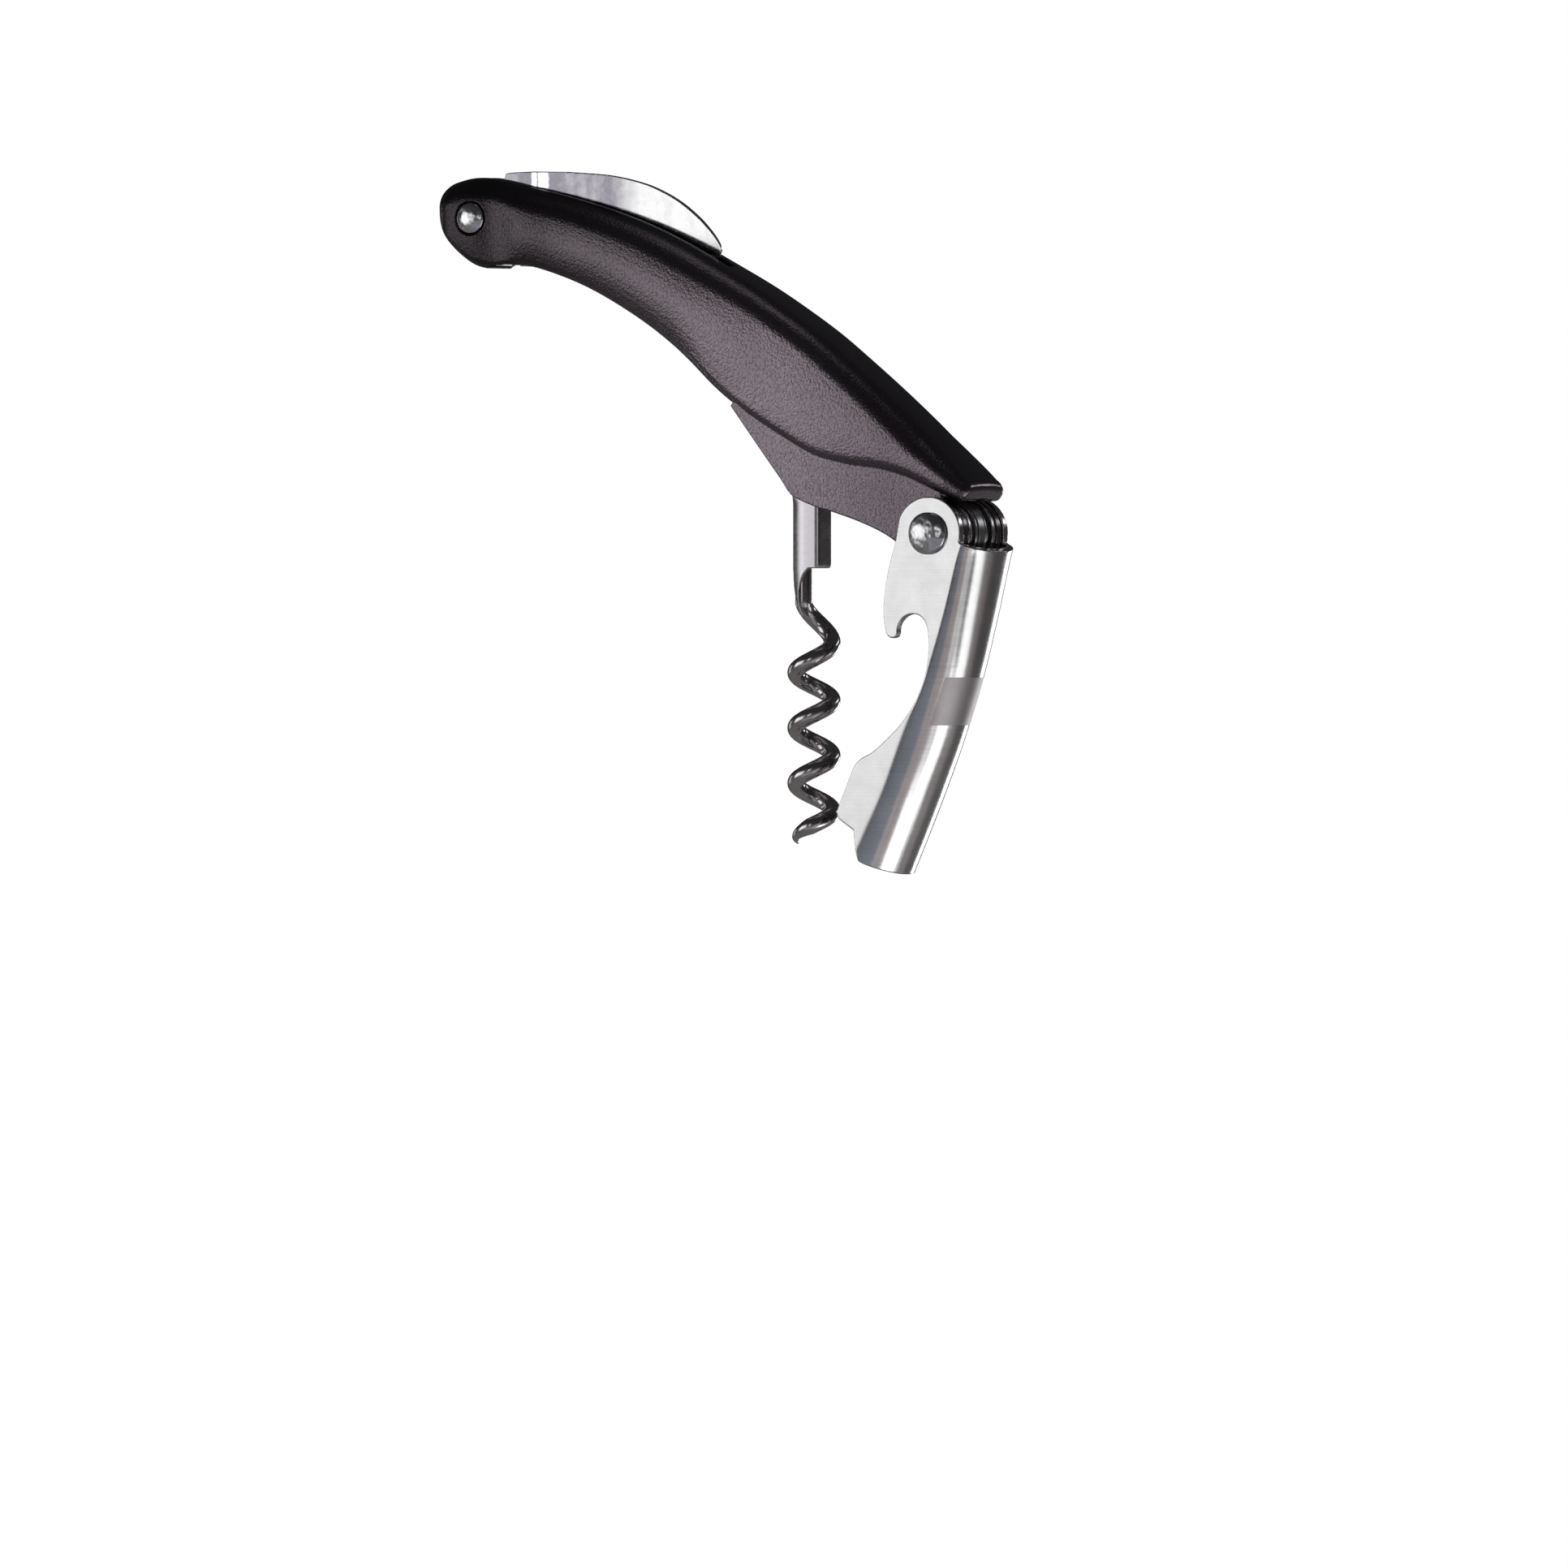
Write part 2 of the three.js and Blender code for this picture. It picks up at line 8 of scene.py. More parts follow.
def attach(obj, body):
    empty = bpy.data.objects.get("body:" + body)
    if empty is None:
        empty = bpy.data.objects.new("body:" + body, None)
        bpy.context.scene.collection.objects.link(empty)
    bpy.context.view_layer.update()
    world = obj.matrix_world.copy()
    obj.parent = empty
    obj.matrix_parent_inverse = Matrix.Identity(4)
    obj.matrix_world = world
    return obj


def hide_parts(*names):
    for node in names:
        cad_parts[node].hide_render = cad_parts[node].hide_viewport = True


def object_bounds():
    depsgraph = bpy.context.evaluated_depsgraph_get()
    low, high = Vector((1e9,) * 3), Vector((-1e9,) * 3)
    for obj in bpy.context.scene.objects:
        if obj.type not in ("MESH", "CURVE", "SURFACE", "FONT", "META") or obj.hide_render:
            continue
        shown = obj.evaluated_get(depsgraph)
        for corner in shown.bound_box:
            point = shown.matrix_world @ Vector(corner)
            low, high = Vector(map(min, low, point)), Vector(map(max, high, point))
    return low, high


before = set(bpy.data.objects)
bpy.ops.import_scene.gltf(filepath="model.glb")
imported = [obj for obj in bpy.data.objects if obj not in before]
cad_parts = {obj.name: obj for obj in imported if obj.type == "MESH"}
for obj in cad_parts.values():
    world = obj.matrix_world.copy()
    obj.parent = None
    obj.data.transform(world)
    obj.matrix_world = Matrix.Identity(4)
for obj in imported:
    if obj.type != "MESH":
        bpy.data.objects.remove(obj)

CAD_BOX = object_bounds()

# Lengths are in millimetres from the lever rivet's axis until place_in_frame, which turns them into
# metres.
MM = 0.001
BOX_CENTRE = (-44.0, 1.95)

# Pivot and pin axes, as x and z.
LEVER_PIVOT = (0.0, 0.0)
WORM_PIVOT = (-26.5, 12.5)
KNIFE_PIVOT = (-89.9, 53.0)
FRONT_PIN = (-12.5, 11.8)
REAR_PIN = (-40.0, 32.0)
STOP_PIN = (-58.0, 46.6)

# Half-widths of the layers, outwards from the mid-plane.
BLADE_HALF = 0.6
SPRING_HALF = 1.0
SLOT_HALF = 1.4
SHANK_HALF = 2.25
SPACER_STEP = 2.0
LINER_INNER = 3.4
LINER_OUTER = 4.4
CAVITY_HALF = 4.7
CHEEK_HALF = 6.4
LEVER_INNER = 6.7
LEVER_SHEET = 1.4
LEVER_OUTER = LEVER_INNER + LEVER_SHEET
GAP = 0.3
OUTSIDE = 12.0            # past both sides of the tool, for cuts that go right through
DRILL_REACH = 20.0
SIDE_PLAY = 0.15
HOLE_PLAY = 0.15

# Radii.
FRONT_RADIUS = 5.9
EAR_RADIUS = 6.1
EAR_RELIEF = 6.5
TANG_RADIUS = 3.9
KNIFE_POCKET = 4.7
SHANK_RADIUS = 3.3
LEVER_RIVET_RADIUS = 1.75
KNIFE_RIVET_RADIUS = 1.5
WORM_PIN_RADIUS = 1.5
SMALL_PIN_RADIUS = 1.1
LEVER_HEAD = (3.5, 1.25)      # a rivet head's radius and height
KNIFE_HEAD = (2.55, 0.95)
KNIFE_SEAT = (2.85, 5.0)      # the seat's radius, and its floor's distance from the mid-plane

# The worm's wire.
WIRE_RADIUS = 1.4
COIL_RADIUS = 3.05
COIL_PITCH = 9.2
COIL_AXIS = -26.6
COIL_TOP = -17.9
COIL_TOP_ANGLE = 30.0
COIL_EASE = 25.0          # degrees by which the first turn lags
COIL_EASE_DEPTH = 1.6     # how far down it takes most of that lag
WORM_TIP = -51.5
LEAD_START = -11.5
LEAD_X = -28.6
WIRE_TOP = 3.0
TIP_LENGTH = 3.2


# ---- outlines ----

def arc(centre, radius, start, end, step=4.0):
    """Points on a circle from one angle to another, in degrees."""
    count = max(2, round(abs(end - start) / step))
    angles = [math.radians(start + (end - start) * i / count) for i in range(count + 1)]
    return [(centre[0] + radius * math.cos(a), centre[1] + radius * math.sin(a)) for a in angles]


def blend_cubic(p0, p1, p2, p3, t):
    """A Catmull-Rom value between p1 and p2."""
    v0 = (p2 - p0) / 2
    v1 = (p3 - p1) / 2
    cubic = 2 * p1 - 2 * p2 + v0 + v1
    square = -3 * p1 + 3 * p2 - 2 * v0 - v1
    return cubic * t ** 3 + square * t ** 2 + v0 * t + p1


def within_one(value):
    """A value kept between 0 and 1."""
    return min(1.0, max(0.0, value))


def curve(points, steps=8):
    """A smooth line through points of any number of coordinates."""
    last = len(points) - 1
    result = []
    for i in range(last):
        near = [points[max(i - 1, 0)], points[i], points[i + 1], points[min(i + 2, last)]]
        for k in range(steps):
            result.append(tuple(blend_cubic(*values, k / steps) for values in zip(*near)))
    result.append(tuple(points[last]))
    return result


def without_repeats(points, least=0.01):
    """A closed outline without points that lie on top of the one before."""
    kept = []
    for p in points:
        if not kept or math.dist(p, kept[-1]) > least:
            kept.append(p)
    if math.dist(kept[0], kept[-1]) < least:
        kept.pop()
    return kept


SHARPEST_CORNER = 0.4     # keeps moved_in from throwing a sharp corner's point far away


def moved_in(points, depth):
    """An outline moved inwards by a small depth."""
    count = len(points)
    area = 0.0
    for i in range(count):
        area += points[i - 1][0] * points[i][1] - points[i][0] * points[i - 1][1]
    sign = 1 if area > 0 else -1
    moved = []
    for i, (x, z) in enumerate(points):
        following = points[(i + 1) % count]
        before = Vector((x - points[i - 1][0], z - points[i - 1][1])).normalized()
        after = Vector((following[0] - x, following[1] - z)).normalized()
        inward = Vector((-before.y - after.y, before.x + after.x)) * sign
        share = depth / max(1 + before.dot(after), SHARPEST_CORNER)
        moved.append((x + inward.x * share, z + inward.y * share))
    return moved


# ---- meshes ----

def solid(name, vertices, faces):
    """A new object from points and faces, with its faces turned outwards."""
    mesh = bpy.data.meshes.new(name)
    mesh.from_pydata(vertices, [], faces)
    work = bmesh.new()
    work.from_mesh(mesh)
    bmesh.ops.recalc_face_normals(work, faces=work.faces[:])
    work.to_mesh(mesh)
    work.free()
    piece = bpy.data.objects.new(name, mesh)
    bpy.context.scene.collection.objects.link(piece)
    return piece


def ring_solid(name, rings):
    """A closed skin through rings of equal length, with a flat face over each end."""
    count = len(rings[0])
    vertices = [p for ring in rings for p in ring]
    faces = [list(range(count)), list(range((len(rings) - 1) * count, len(rings) * count))]
    for r in range(len(rings) - 1):
        for i in range(count):
            a = r * count + i
            b = r * count + (i + 1) % count
            faces.append([a, b, b + count, a + count])
    return solid(name, vertices, faces)


def plate(name, points, low, high, edge=0.0, rounds=3):
    """An outline's plate between two values of y, with rounded edges of a small radius."""
    outline = without_repeats(points)
    if edge == 0:
        levels = [(low, 0.0), (high, 0.0)]
    else:
        turns = [math.radians(90 * k / rounds) for k in range(rounds + 1)]
        lower = [(low + edge * (1 - math.cos(a)), edge * (1 - math.sin(a))) for a in turns]
        upper = [(low + high - y, inset) for y, inset in reversed(lower)]
        levels = lower + upper
    rings = []
    for y, inset in levels:
        level = moved_in(outline, inset) if inset > 0 else outline
        rings.append([(x, y, z) for x, z in level])
    return ring_solid(name, rings)


ON_AXIS = 1e-6            # a profile's radius below which its row is a single point


def turned(name, axis, profile, sides=64):
    """A turned piece on an axis along Y, from a profile of radius and y."""
    vertices = []
    rows = []
    for radius, y in profile:
        if radius < ON_AXIS:
            rows.append([len(vertices)] * sides)
            vertices.append((axis[0], y, axis[1]))
            continue
        rows.append(list(range(len(vertices), len(vertices) + sides)))
        for i in range(sides):
            angle = 2 * math.pi * i / sides
            x = axis[0] + radius * math.cos(angle)
            z = axis[1] + radius * math.sin(angle)
            vertices.append((x, y, z))
    if profile[0][0] > ON_AXIS:
        rows.append(rows[0])
    faces = []
    for lower, upper in zip(rows, rows[1:]):
        for i in range(sides):
            k = (i + 1) % sides
            face = list(dict.fromkeys([lower[i], lower[k], upper[k], upper[i]]))
            if len(face) > 2:
                faces.append(face)
    return solid(name, vertices, faces)


def bar(axis, radius, low, high, sides=64):
    """A round bar along Y, for cutting."""
    circle = arc(axis, radius, 0, 360, 360 / sides)[:-1]
    return ring_solid("bar", [[(x, y, z) for x, z in circle] for y in (low, high)])


def settle(piece):
    """Makes the result of a piece's modifiers its mesh."""
    graph = bpy.context.evaluated_depsgraph_get()
    mesh = bpy.data.meshes.new_from_object(piece.evaluated_get(graph))
    piece.modifiers.clear()
    piece.data = mesh
    return piece


def combine(piece, tool, operation="DIFFERENCE"):
    """Cuts a tool away from a piece, joins it on, or keeps what they share. The tool is used up."""
    step = piece.modifiers.new("combine", "BOOLEAN")
    step.operation = operation
    step.solver = "EXACT"
    step.object = tool
    settle(piece)
    bpy.data.objects.remove(tool)
    return piece


def drill(piece, holes):
    """Round holes along Y for pins of the given axes and radii."""
    for axis, radius in holes:
        combine(piece, bar(axis, radius + HOLE_PLAY, -DRILL_REACH, DRILL_REACH, 48))
    return piece


def soften(piece, voxel, passes):
    """An even fine mesh whose edges are slightly round."""
    grid = piece.modifiers.new("grid", "REMESH")
    grid.mode = "VOXEL"
    grid.voxel_size = voxel
    relax = piece.modifiers.new("relax", "SMOOTH")
    relax.factor = 0.5
    relax.iterations = passes
    return settle(piece)


def place_in_frame(piece, name, body, nodes, material, flat_sides=False):
    """Turns a piece's millimetres into the frame's metres, gives it its material and body, and hides the
    CAD parts it stands in for.
    """
    shift = Matrix.Translation((-BOX_CENTRE[0], 0, -BOX_CENTRE[1]))
    piece.data.transform(Matrix.Scale(MM, 4) @ shift)
    piece.name = name
    piece.data.name = name
    piece.data.materials.clear()
    piece.data.materials.append(material)
    piece.data.shade_smooth()
    if flat_sides:
        piece.modifiers.new("even_shading", "WEIGHTED_NORMAL").keep_sharp = True
    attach(piece, body)
    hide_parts(*nodes)


# ---- materials ----

def start_material(name):
    """A new material with its node tree and its shader."""
    material = bpy.data.materials.new(name)
    material.use_nodes = True
    return material, material.node_tree, material.node_tree.nodes["Principled BSDF"]


def node(tree, kind, inputs=None, **settings):
    """A new node whose inputs are links or plain values."""
    made = tree.nodes.new(kind)
    for key, value in settings.items():
        setattr(made, key, value)
    for key, value in (inputs or {}).items():
        if isinstance(value, bpy.types.NodeSocket):
            tree.links.new(value, made.inputs[key])
        else:
            made.inputs[key].default_value = value
    return made


def stretched(tree, scale):
    """Object coordinates multiplied by a scale for each axis, per metre."""
    place = node(tree, "ShaderNodeTexCoord").outputs["Object"]
    return node(tree, "ShaderNodeMapping", {"Vector": place, "Scale": scale}).outputs["Vector"]


def noise(tree, vector, scale=1.0, detail=3.0, roughness=0.5):
    inputs = {"Vector": vector, "Scale": scale, "Detail": detail, "Roughness": roughness}
    return node(tree, "ShaderNodeTexNoise", inputs).outputs["Fac"]


def ramp(tree, value, stops):
    made = node(tree, "ShaderNodeValToRGB", {"Fac": value})
    elements = made.color_ramp.elements
    while len(elements) < len(stops):
        elements.new(0.5)
    for element, (position, colour) in zip(elements, stops):
        element.position = position
        element.color = (*colour, 1)
    return made.outputs["Color"]


def spread(tree, value, low, high, start=0.0, end=1.0):
    """A value carried from the range low..high to start..end."""
    inputs = {"Value": value, "From Min": low, "From Max": high, "To Min": start, "To Max": end}
    return node(tree, "ShaderNodeMapRange", inputs).outputs["Result"]


def bump(tree, height, strength, distance, normal=None):
    inputs = {"Height": height, "Strength": strength, "Distance": distance}
    if normal is not None:
        inputs["Normal"] = normal
    return node(tree, "ShaderNodeBump", inputs).outputs["Normal"]


def times(tree, a, b):
    return node(tree, "ShaderNodeMath", {0: a, 1: b}, operation="MULTIPLY").outputs["Value"]


def plus(tree, a, b):
    return node(tree, "ShaderNodeMath", {0: a, 1: b}, operation="ADD").outputs["Value"]


def mix_colours(tree, share, first, second):
    inputs = {0: share, 6: first, 7: second}
    return node(tree, "ShaderNodeMix", inputs, data_type="RGBA").outputs[2]


def side_share(tree):
    """1 on faces that look along Y and 0 on the spine and the ends."""
    normal = node(tree, "ShaderNodeTexCoord").outputs["Normal"]
    across = node(tree, "ShaderNodeSeparateXYZ", {"Vector": normal}).outputs["Y"]
    size = node(tree, "ShaderNodeMath", {0: across}, operation="ABSOLUTE").outputs["Value"]
    return spread(tree, size, 0.35, 0.8)


GRAIN_CELLS = 3000       # leather cells per metre, and pores per metre between them
GRAIN_PORES = 4200
GRAIN_DEPTH = 0.000055   # in metres, as the depth of the pores is
PORE_DEPTH = 0.00001
SHEEN_REACH = 0.05       # the sheen changes along x between minus and plus this, in metres
SHEEN = [(0.04, 0.16), (0.5, 0.8), (0.68, 0.95), (0.85, 0.7)]     # share of that way, and level


def plastic(name):
    """Black moulding with a fine leather grain on its sides and a smoother, glossier spine."""
    material, tree, surface = start_material(name)
    side = side_share(tree)
    cells = stretched(tree, (GRAIN_CELLS, GRAIN_CELLS, GRAIN_CELLS))
    warp = node(tree, "ShaderNodeTexNoise", {"Vector": cells, "Scale": 0.8, "Detail": 2.0})
    bent = node(tree, "ShaderNodeVectorMath", {0: cells, 1: warp.outputs["Color"]}, operation="ADD")
    voronoi = {"Vector": bent.outputs["Vector"], "Scale": 1.0}
    grain = node(tree, "ShaderNodeTexVoronoi", voronoi, feature="SMOOTH_F1").outputs["Distance"]
    pores = noise(tree, stretched(tree, (GRAIN_PORES, GRAIN_PORES, GRAIN_PORES)), detail=3.0, roughness=0.6)
    cloud = noise(tree, stretched(tree, (90, 90, 90)), detail=2.0)
    shade = ramp(tree, cloud, [(0.3, (0.0085, 0.0072, 0.0082)), (0.7, (0.0125, 0.011, 0.0122))])
    tree.links.new(shade, surface.inputs["Base Color"])
    rough = spread(tree, side, 0.0, 1.0, 0.22, 0.25)
    uneven = spread(tree, cloud, 0.3, 0.7, 0.92, 1.08)
    tree.links.new(times(tree, rough, uneven), surface.inputs["Roughness"])
    fine = bump(tree, pores, 0.3, PORE_DEPTH)
    raised = times(tree, grain, spread(tree, side, 0, 1, 0.12, 1.0))
    leather = bump(tree, raised, 0.9, GRAIN_DEPTH, fine)
    tree.links.new(leather, surface.inputs["Normal"])
    place = node(tree, "ShaderNodeTexCoord").outputs["Object"]
    along = node(tree, "ShaderNodeSeparateXYZ", {"Vector": place}).outputs["X"]
    stops = [(position, (level, level, level)) for position, level in SHEEN]
    sheen = ramp(tree, spread(tree, along, -SHEEN_REACH, SHEEN_REACH), stops)
    valleys = spread(tree, grain, 0.15, 0.65, 1.12, 0.68)
    tree.links.new(times(tree, sheen, valleys), surface.inputs["Specular IOR Level"])
    surface.inputs["IOR"].default_value = 2.05
    surface.inputs["Specular Tint"].default_value = (1.0, 0.85, 0.96, 1)
    return material


LINE_DEPTH = 0.000006    # of the brushed lines and the waves in steel, in metres
WAVE_DEPTH = 0.0002
PATCH_TONES = [(0.3, (0.38, 0.36, 0.37)), (0.7, (0.44, 0.42, 0.43))]


def metal(name, low, high, roughness, lines, line_strength, mottle=0.0, waves=0.0, patch=None):
    """Steel between two tones, with brushed lines given as a scale for each axis. Mottle makes its
    gloss uneven, waves bend its reflections a little, and a patch is a duller area of it."""
    material, tree, surface = start_material(name)
    surface.inputs["Metallic"].default_value = 1.0
    brushed = noise(tree, stretched(tree, lines), detail=4.0, roughness=0.65)
    cloud = noise(tree, stretched(tree, (260, 260, 260)), detail=4.0, roughness=0.6)
    tone = node(tree, "ShaderNodeMix", {"Factor": 0.5, "A": brushed, "B": cloud}).outputs["Result"]
    colour = ramp(tree, tone, [(0.35, low), (0.65, high)])
    rough = spread(tree, brushed, 0.25, 0.75, roughness * 0.85, roughness * 1.15)
    if patch is not None:
        share = patch(tree)
        dull = spread(tree, brushed, 0, 1, 0.42, 0.5)
        rough = node(tree, "ShaderNodeMix", {"Factor": share, "A": rough, "B": dull}).outputs["Result"]
        colour = mix_colours(tree, share, colour, ramp(tree, cloud, PATCH_TONES))
    tree.links.new(colour, surface.inputs["Base Color"])
    if mottle > 0:
        rough = times(tree, rough, spread(tree, cloud, 0.35, 0.65, 1 - mottle, 1 + mottle))
    tree.links.new(rough, surface.inputs["Roughness"])
    shape = None
    if waves > 0:
        swell = noise(tree, stretched(tree, (650, 650, 650)), detail=1.0)
        shape = bump(tree, swell, waves, WAVE_DEPTH)
    tree.links.new(bump(tree, brushed, line_strength, LINE_DEPTH, shape), surface.inputs["Normal"])
    return material


PATCH_LOW = -0.0339      # the plain patch on the lever's back, along z in metres
PATCH_HIGH = -0.0259
PATCH_HALF = 0.0064


def back_patch(tree):
    """1 on a plain rectangle across the lever's back and 0 elsewhere."""
    place = node(tree, "ShaderNodeTexCoord").outputs["Object"]
    parts = node(tree, "ShaderNodeSeparateXYZ", {"Vector": place})
    normal = node(tree, "ShaderNodeTexCoord").outputs["Normal"]
    facing = node(tree, "ShaderNodeSeparateXYZ", {"Vector": normal}).outputs["X"]
    middle = (PATCH_LOW + PATCH_HIGH) / 2
    reach = (PATCH_HIGH - PATCH_LOW) / 2
    along = {0: parts.outputs["Z"], 1: middle, 2: reach}
    height = node(tree, "ShaderNodeMath", along, operation="COMPARE")
    sideways = {0: parts.outputs["Y"], 1: 0.0, 2: PATCH_HALF}
    across = node(tree, "ShaderNodeMath", sideways, operation="COMPARE")
    outside = node(tree, "ShaderNodeMath", {0: facing, 1: 0.1}, operation="GREATER_THAN")
    inside = times(tree, height.outputs["Value"], across.outputs["Value"])
    return times(tree, inside, outside.outputs["Value"])


PLASTIC = plastic("moulded_black")
LEVER_STEEL = metal("brushed_lever_steel", (0.54, 0.54, 0.545), (0.66, 0.66, 0.665), 0.19,
                    (60, 60, 7000), 0.25, patch=back_patch)
SATIN_STEEL = metal("satin_steel", (0.50, 0.50, 0.51), (0.60, 0.60, 0.62), 0.26,
                    (1200, 400, 1200), 0.03)
SPRING_STEEL = metal("grey_spring_steel", (0.34, 0.34, 0.35), (0.44, 0.44, 0.45), 0.30,
                     (1200, 400, 1200), 0.04)
SHANK_STEEL = metal("satin_shank_steel", (0.44, 0.425, 0.45), (0.55, 0.53, 0.56), 0.24,
                    (500, 500, 1500), 0.1, mottle=0.1)
WORM_STEEL = metal("dark_worm_steel", (0.56, 0.53, 0.53), (0.68, 0.65, 0.65), 0.2,
                   (300, 300, 300), 0.02, mottle=0.06)
# Along the blade, as x in metres: the painted reflection turns from dim to bright between the first two,
# and the painted highlight crosses the plunge between the next two.
BLADE_PAINTED_DIM_END = -0.0205
BLADE_PAINTED_BRIGHT_START = -0.0155
PLUNGE_START = -0.0370
PLUNGE_END = -0.0334
PLUNGE_WOBBLE = 0.0004
# The painted highlight across the plunge: a bright band with a painted dark line in it.
PLUNGE_PAINTED_HIGHLIGHT = [(0.0, 0.0), (0.12, 1.0), (0.30, 1.0), (0.36, 0.05), (0.44, 1.0), (0.88, 0.9), (1.0, 0.0)]


def blade_steel(name):
    """Mirror steel whose colour holds painted reflections: dim and mottled near the tang, a bright painted
    highlight with a painted dark line across the plunge, and brighter painted reflection towards the tip."""
    material, tree, surface = start_material(name)
    surface.inputs["Metallic"].default_value = 1.0
    place = node(tree, "ShaderNodeTexCoord").outputs["Object"]
    along = node(tree, "ShaderNodeSeparateXYZ", {"Vector": place}).outputs["X"]
    cloud = noise(tree, stretched(tree, (520, 520, 520)), detail=6.0, roughness=0.7)
    strips = noise(tree, stretched(tree, (420, 40, 60)), detail=2.0)
    streaks = spread(tree, strips, 0.35, 0.65, -0.12, 0.12)
    uneven = plus(tree, spread(tree, cloud, 0.3, 0.7, -0.2, 0.2), streaks)
    # Painted reflection in the base colour: dim near the tang, brightening towards the tip.
    reach = spread(tree, along, BLADE_PAINTED_DIM_END, BLADE_PAINTED_BRIGHT_START, 0.1, 1.0)
    face = ramp(tree, plus(tree, reach, uneven), [(0.0, (0.23, 0.22, 0.255)), (1.0, (0.72, 0.72, 0.72))])
    wobble = plus(tree, along, spread(tree, cloud, 0, 1, -PLUNGE_WOBBLE, PLUNGE_WOBBLE))
    # Painted highlight across the plunge, mixed over the base colour.
    band = spread(tree, wobble, PLUNGE_START, PLUNGE_END)
    painted_highlight = ramp(tree, band, [(position, (level, level, level)) for position, level in PLUNGE_PAINTED_HIGHLIGHT])
    colour = mix_colours(tree, painted_highlight, face, (0.92, 0.92, 0.94, 1))
    tree.links.new(colour, surface.inputs["Base Color"])
    tree.links.new(spread(tree, cloud, 0.3, 0.7, 0.07, 0.18), surface.inputs["Roughness"])
    tree.links.new(bump(tree, cloud, 0.2, 0.00001), surface.inputs["Normal"])
    return material


BLADE_STEEL = blade_steel("mirror_blade_steel")
RIVET_STEEL = metal("polished_rivet_steel", (0.60, 0.59, 0.61), (0.74, 0.73, 0.75), 0.2,
                    (900, 900, 900), 0.05, mottle=0.2, waves=0.9)


# ---- handle ----

# The grip from its rear end to its front lip: the spine's x and z, the lower edge's x and z, and the
# half-width. On the front half the lower edge is the ridge above the flat cheeks.
GRIP = [
    (-97.3, 55.4, -97.3, 54.0, 1.6),
    (-97.0, 56.8, -96.8, 52.0, 3.6),
    (-95.7, 58.1, -95.2, 49.4, 4.9),
    (-93.4, 58.9, -92.4, 46.8, 5.45),
    (-90.2, 59.4, -89.0, 44.9, 5.8),
    (-86.0, 59.1, -84.6, 44.4, 5.45),
    (-79.7, 57.7, -79.8, 44.7, 6.45),
    (-72.5, 56.1, -74.0, 43.3, 6.5),
    (-65.0, 54.1, -67.6, 41.0, 6.8),
    (-57.6, 51.6, -61.3, 37.9, 7.0),
    (-50.4, 48.5, -54.9, 34.1, 7.2),
    (-43.5, 45.0, -48.6, 29.5, 7.3),
    (-36.2, 41.1, -42.2, 24.0, 7.4),
    (-29.9, 37.3, -35.6, 19.4, 7.4),
    (-23.6, 33.2, -29.4, 15.8, 7.4),
    (-17.5, 28.6, -23.4, 12.7, 7.4),
    (-11.3, 23.7, -17.0, 11.1, 7.4),
    (-5.1, 18.5, -10.4, 10.3, 7.4),
    (-0.2, 14.1, -4.6, 8.8, 7.4),
    (3.6, 10.6, 0.4, 6.9, 7.3),
    (5.4, 8.85, 3.7, 5.65, 7.05),
]
TOP_EDGE_RADIUS = 3.7
LOW_EDGE_RADIUS = (2.2, 1.5)     # over the cheeks, and behind them
UPPER_BULGE = (0.5, 1.35)
LOWER_BULGE = (0.5, 2.0)
BEHIND_CHEEKS = (-30.0, -46.0)   # where the second values take over, along x
CROWN = 0.45
BULGE_FROM = 4.8                 # half-width from which the sides bulge, and how much wider the
BULGE_RANGE = 2.4                # grip has to be for the whole bulge


def grip_ring(row):
    """One ring of the grip: crowned over the spine, slightly full at the sides, and round at the
    lower edges."""
    top_x, top_z, low_x, low_z, half = row
    depth = math.hypot(low_x - top_x, low_z - top_z)
    top_radius = min(TOP_EDGE_RADIUS, depth * 0.45, half * 0.9)
    behind = within_one((top_x - BEHIND_CHEEKS[0]) / (BEHIND_CHEEKS[1] - BEHIND_CHEEKS[0]))
    low_edge, upper, lower = (pair[0] + (pair[1] - pair[0]) * behind
                              for pair in (LOW_EDGE_RADIUS, UPPER_BULGE, LOWER_BULGE))
    low_radius = min(low_edge, depth * 0.3, half * 0.5)
    flat = half - top_radius
    side = [(flat * k / 6, 0.0) for k in range(6)]
    side += [(flat + top_radius * y, top_radius * (1 - n)) for y, n in arc((0, 0), 1, 90, 0, 9)]
    middle = depth - top_radius - low_radius
    side += [(half, top_radius + middle * k / 8) for k in range(1, 8)]
    for y, n in arc((0, 0), 1, 0, -90, 15):
        side.append((half - low_radius * (1 - y), depth - low_radius * (1 + n)))
    low_flat = half - low_radius
    side += [(low_flat * (1 - k / 4), depth) for k in range(1, 4)]
    full = []
    bulging = within_one((half - BULGE_FROM) / BULGE_RANGE)
    for y, n in side:
        crowned = n - CROWN * max(0.0, 1 - (y / half) ** 2) * max(0.0, 1 - n / top_radius)
        bulge = upper if n < depth / 2 else lower
        waist = bulge * bulging * (2 * n / depth - 1) ** 2
        full.append((y - waist * y / half, crowned))
    ring = full + [(0.0, depth)] + [(-y, n) for y, n in reversed(full[1:])]
    points = []
    for y, n in ring:
        share = n / depth
        points.append((top_x + (low_x - top_x) * share, y, top_z + (low_z - top_z) * share))
    return points


def spine_inset(depth, first, last, steps=4):
    """The spine, moved inwards by a depth, from one row of the grip to another."""
    line = []
    for top_x, top_z, low_x, low_z, _ in GRIP[first:last + 1]:
        share = depth / math.hypot(low_x - top_x, low_z - top_z)
        line.append((top_x + (low_x - top_x) * share, top_z + (low_z - top_z) * share))
    return curve(line, steps)


